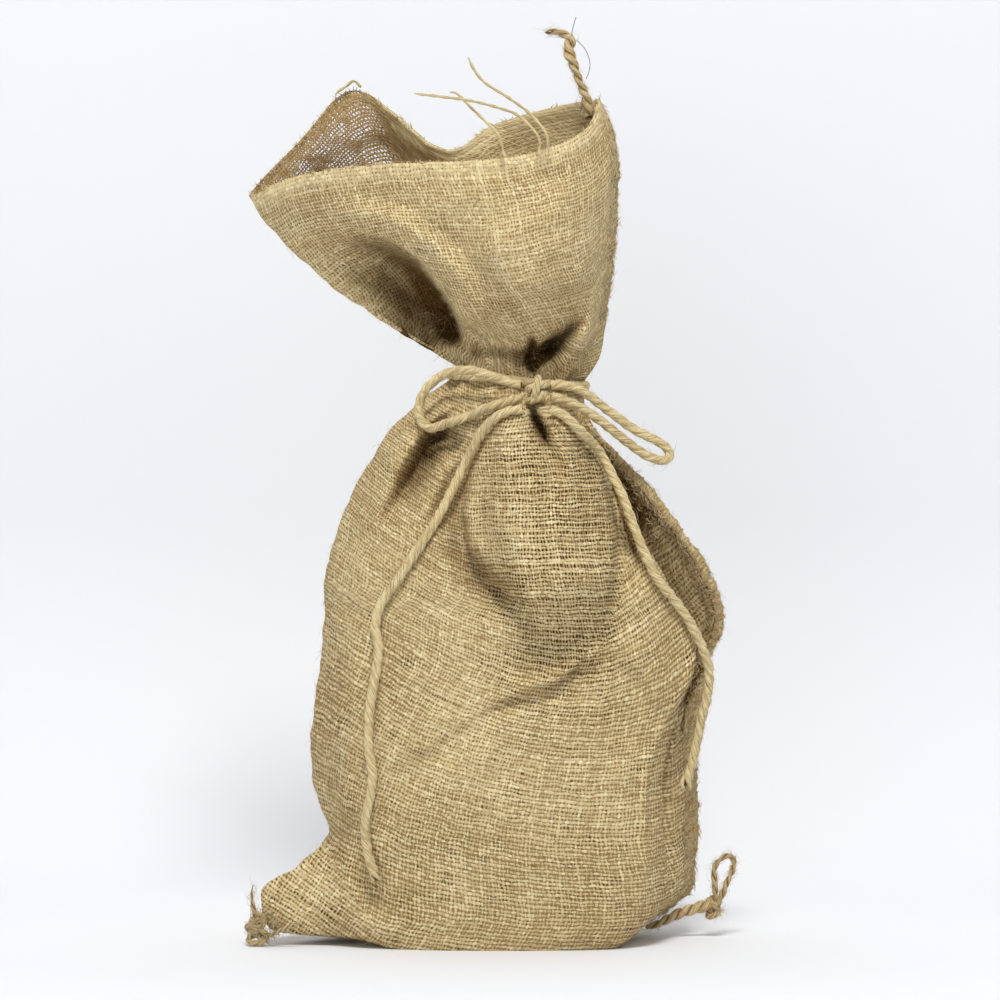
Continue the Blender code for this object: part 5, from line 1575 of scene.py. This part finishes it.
def fibres_on_cords(name, routes, diameter, spacing, material):
    """Loose fibres that stand out from cords."""
    roots, outward, along = [], [], []
    for route in routes:
        tangents, first, second = frames_along(route)
        picks = random.integers(0, len(route), int(distances_along(route)[-1] / spacing))
        count = len(picks)
        out = across(first[picks], second[picks], random.uniform(0, TURN, count))
        roots.append(route[picks] + 0.42 * diameter * out)
        outward.append(out)
        along.append(unit(signs(count) * tangents[picks]
                          + random.normal(0, 0.35, (count, 1)) * np.cross(tangents[picks], out)))
    roots, outward, along = (np.concatenate(part) for part in (roots, outward, along))
    build_fibres(name, roots, outward, along, random.uniform(1.5, 5.5, len(roots)),
                 0.075, 0.4, material)


def fibres_on_seam(rings, normals, material):
    """Fuzz of cut threads and sewing yarn along the right side's seam."""
    count = SEAM_FIBRES
    heights = rings[:, FRONT_STEPS, 2]
    rows = np.flatnonzero((heights > 6.0) & ((heights < SEAM_TOP) | (heights > SEAM_BACK_OUT)))
    row = random.choice(rows, count)
    column = FRONT_STEPS + np.round(random.normal(-2.5, 3.2, count)).astype(int)
    outward = normals[row, column]
    up = unit(rings[np.minimum(row + 1, len(rings) - 1), column] - rings[row - 1, column])
    along = unit(up * signs(count) + random.normal(0, 0.6, (count, 1)) * np.cross(outward, up))
    build_fibres("seam_fuzz", rings[row, column], outward, along,
                 random.uniform(1.0, 4.0, count), 0.15, 0.45, material)


def tuft(name, centre, size, count, lengths, radius, material):
    """Short cut ends of yarn that stand out all round a knot."""
    out = unit(random.normal(size=(count, 3)))
    along = unit(np.cross(out, random.normal(size=(count, 3))) + 0.5 * out)
    build_fibres(name, np.array(centre) + out * np.array(size), out, along,
                 random.uniform(*lengths, count), radius, 0.3, material)


# ---- The model ----

make_camera()
make_lights()
make_backdrop()
HESSIAN = hessian_material()
TWINE = cord_material("jute_twine", (0.87, 0.74, 0.43), (0.61, 0.46, 0.215), (0.21, 0.125, 0.045),
                      (0.55, 0.22, 0.10))
SEAM_YARN = cord_material("seam_yarn_jute", (0.74, 0.58, 0.32), (0.50, 0.35, 0.155),
                          (0.17, 0.10, 0.04), (0.55, 0.20, 0.10))
THREAD = cord_material("dark_thread", (0.16, 0.14, 0.12), (0.09, 0.075, 0.06), (0.03, 0.025, 0.02),
                       (0.2, 0.15, 0.1))
FIBRE = fibre_material()

surface, rings, normals = build_sack(HESSIAN)
twine_routes = build_twine(surface, TWINE)
build_knot("tie_knot", "twine_knot", KNOT_CENTRE, KNOT_TURNS, 3.4, TWINE)
seam_routes = build_seam_yarn(surface, SEAM_YARN)
build_loose_yarns(TWINE)
fibres_on_cloth(rings, normals, FIBRE)
fibres_on_cords("twine_fibres", twine_routes, TWINE_DIAMETER, 0.55, FIBRE)
overcast_seam(rings, normals, SEAM_YARN)
fibres_on_seam(rings, normals, FIBRE)
fibres_on_cords("seam_yarn_fibres", seam_routes, 0.9 * SEAM_YARN_DIAMETER, 0.16, FIBRE)
tuft("ear_tuft", (-94, -34, 8), (5.4, 3.4, 5.2), 330, (1.5, 5.0), 0.2, FIBRE)
tuft("knot_tuft", SEAM_KNOT_RIGHT, (3.8, 3.0, 4.4), 90, (1.0, 3.5), 0.12, FIBRE)
dark_thread(THREAD)
tuft("top_tuft", (34.8, -0.6, 334.5), (2.4, 1.6, 2.4), 110, (1.5, 4.0), 0.18, FIBRE)
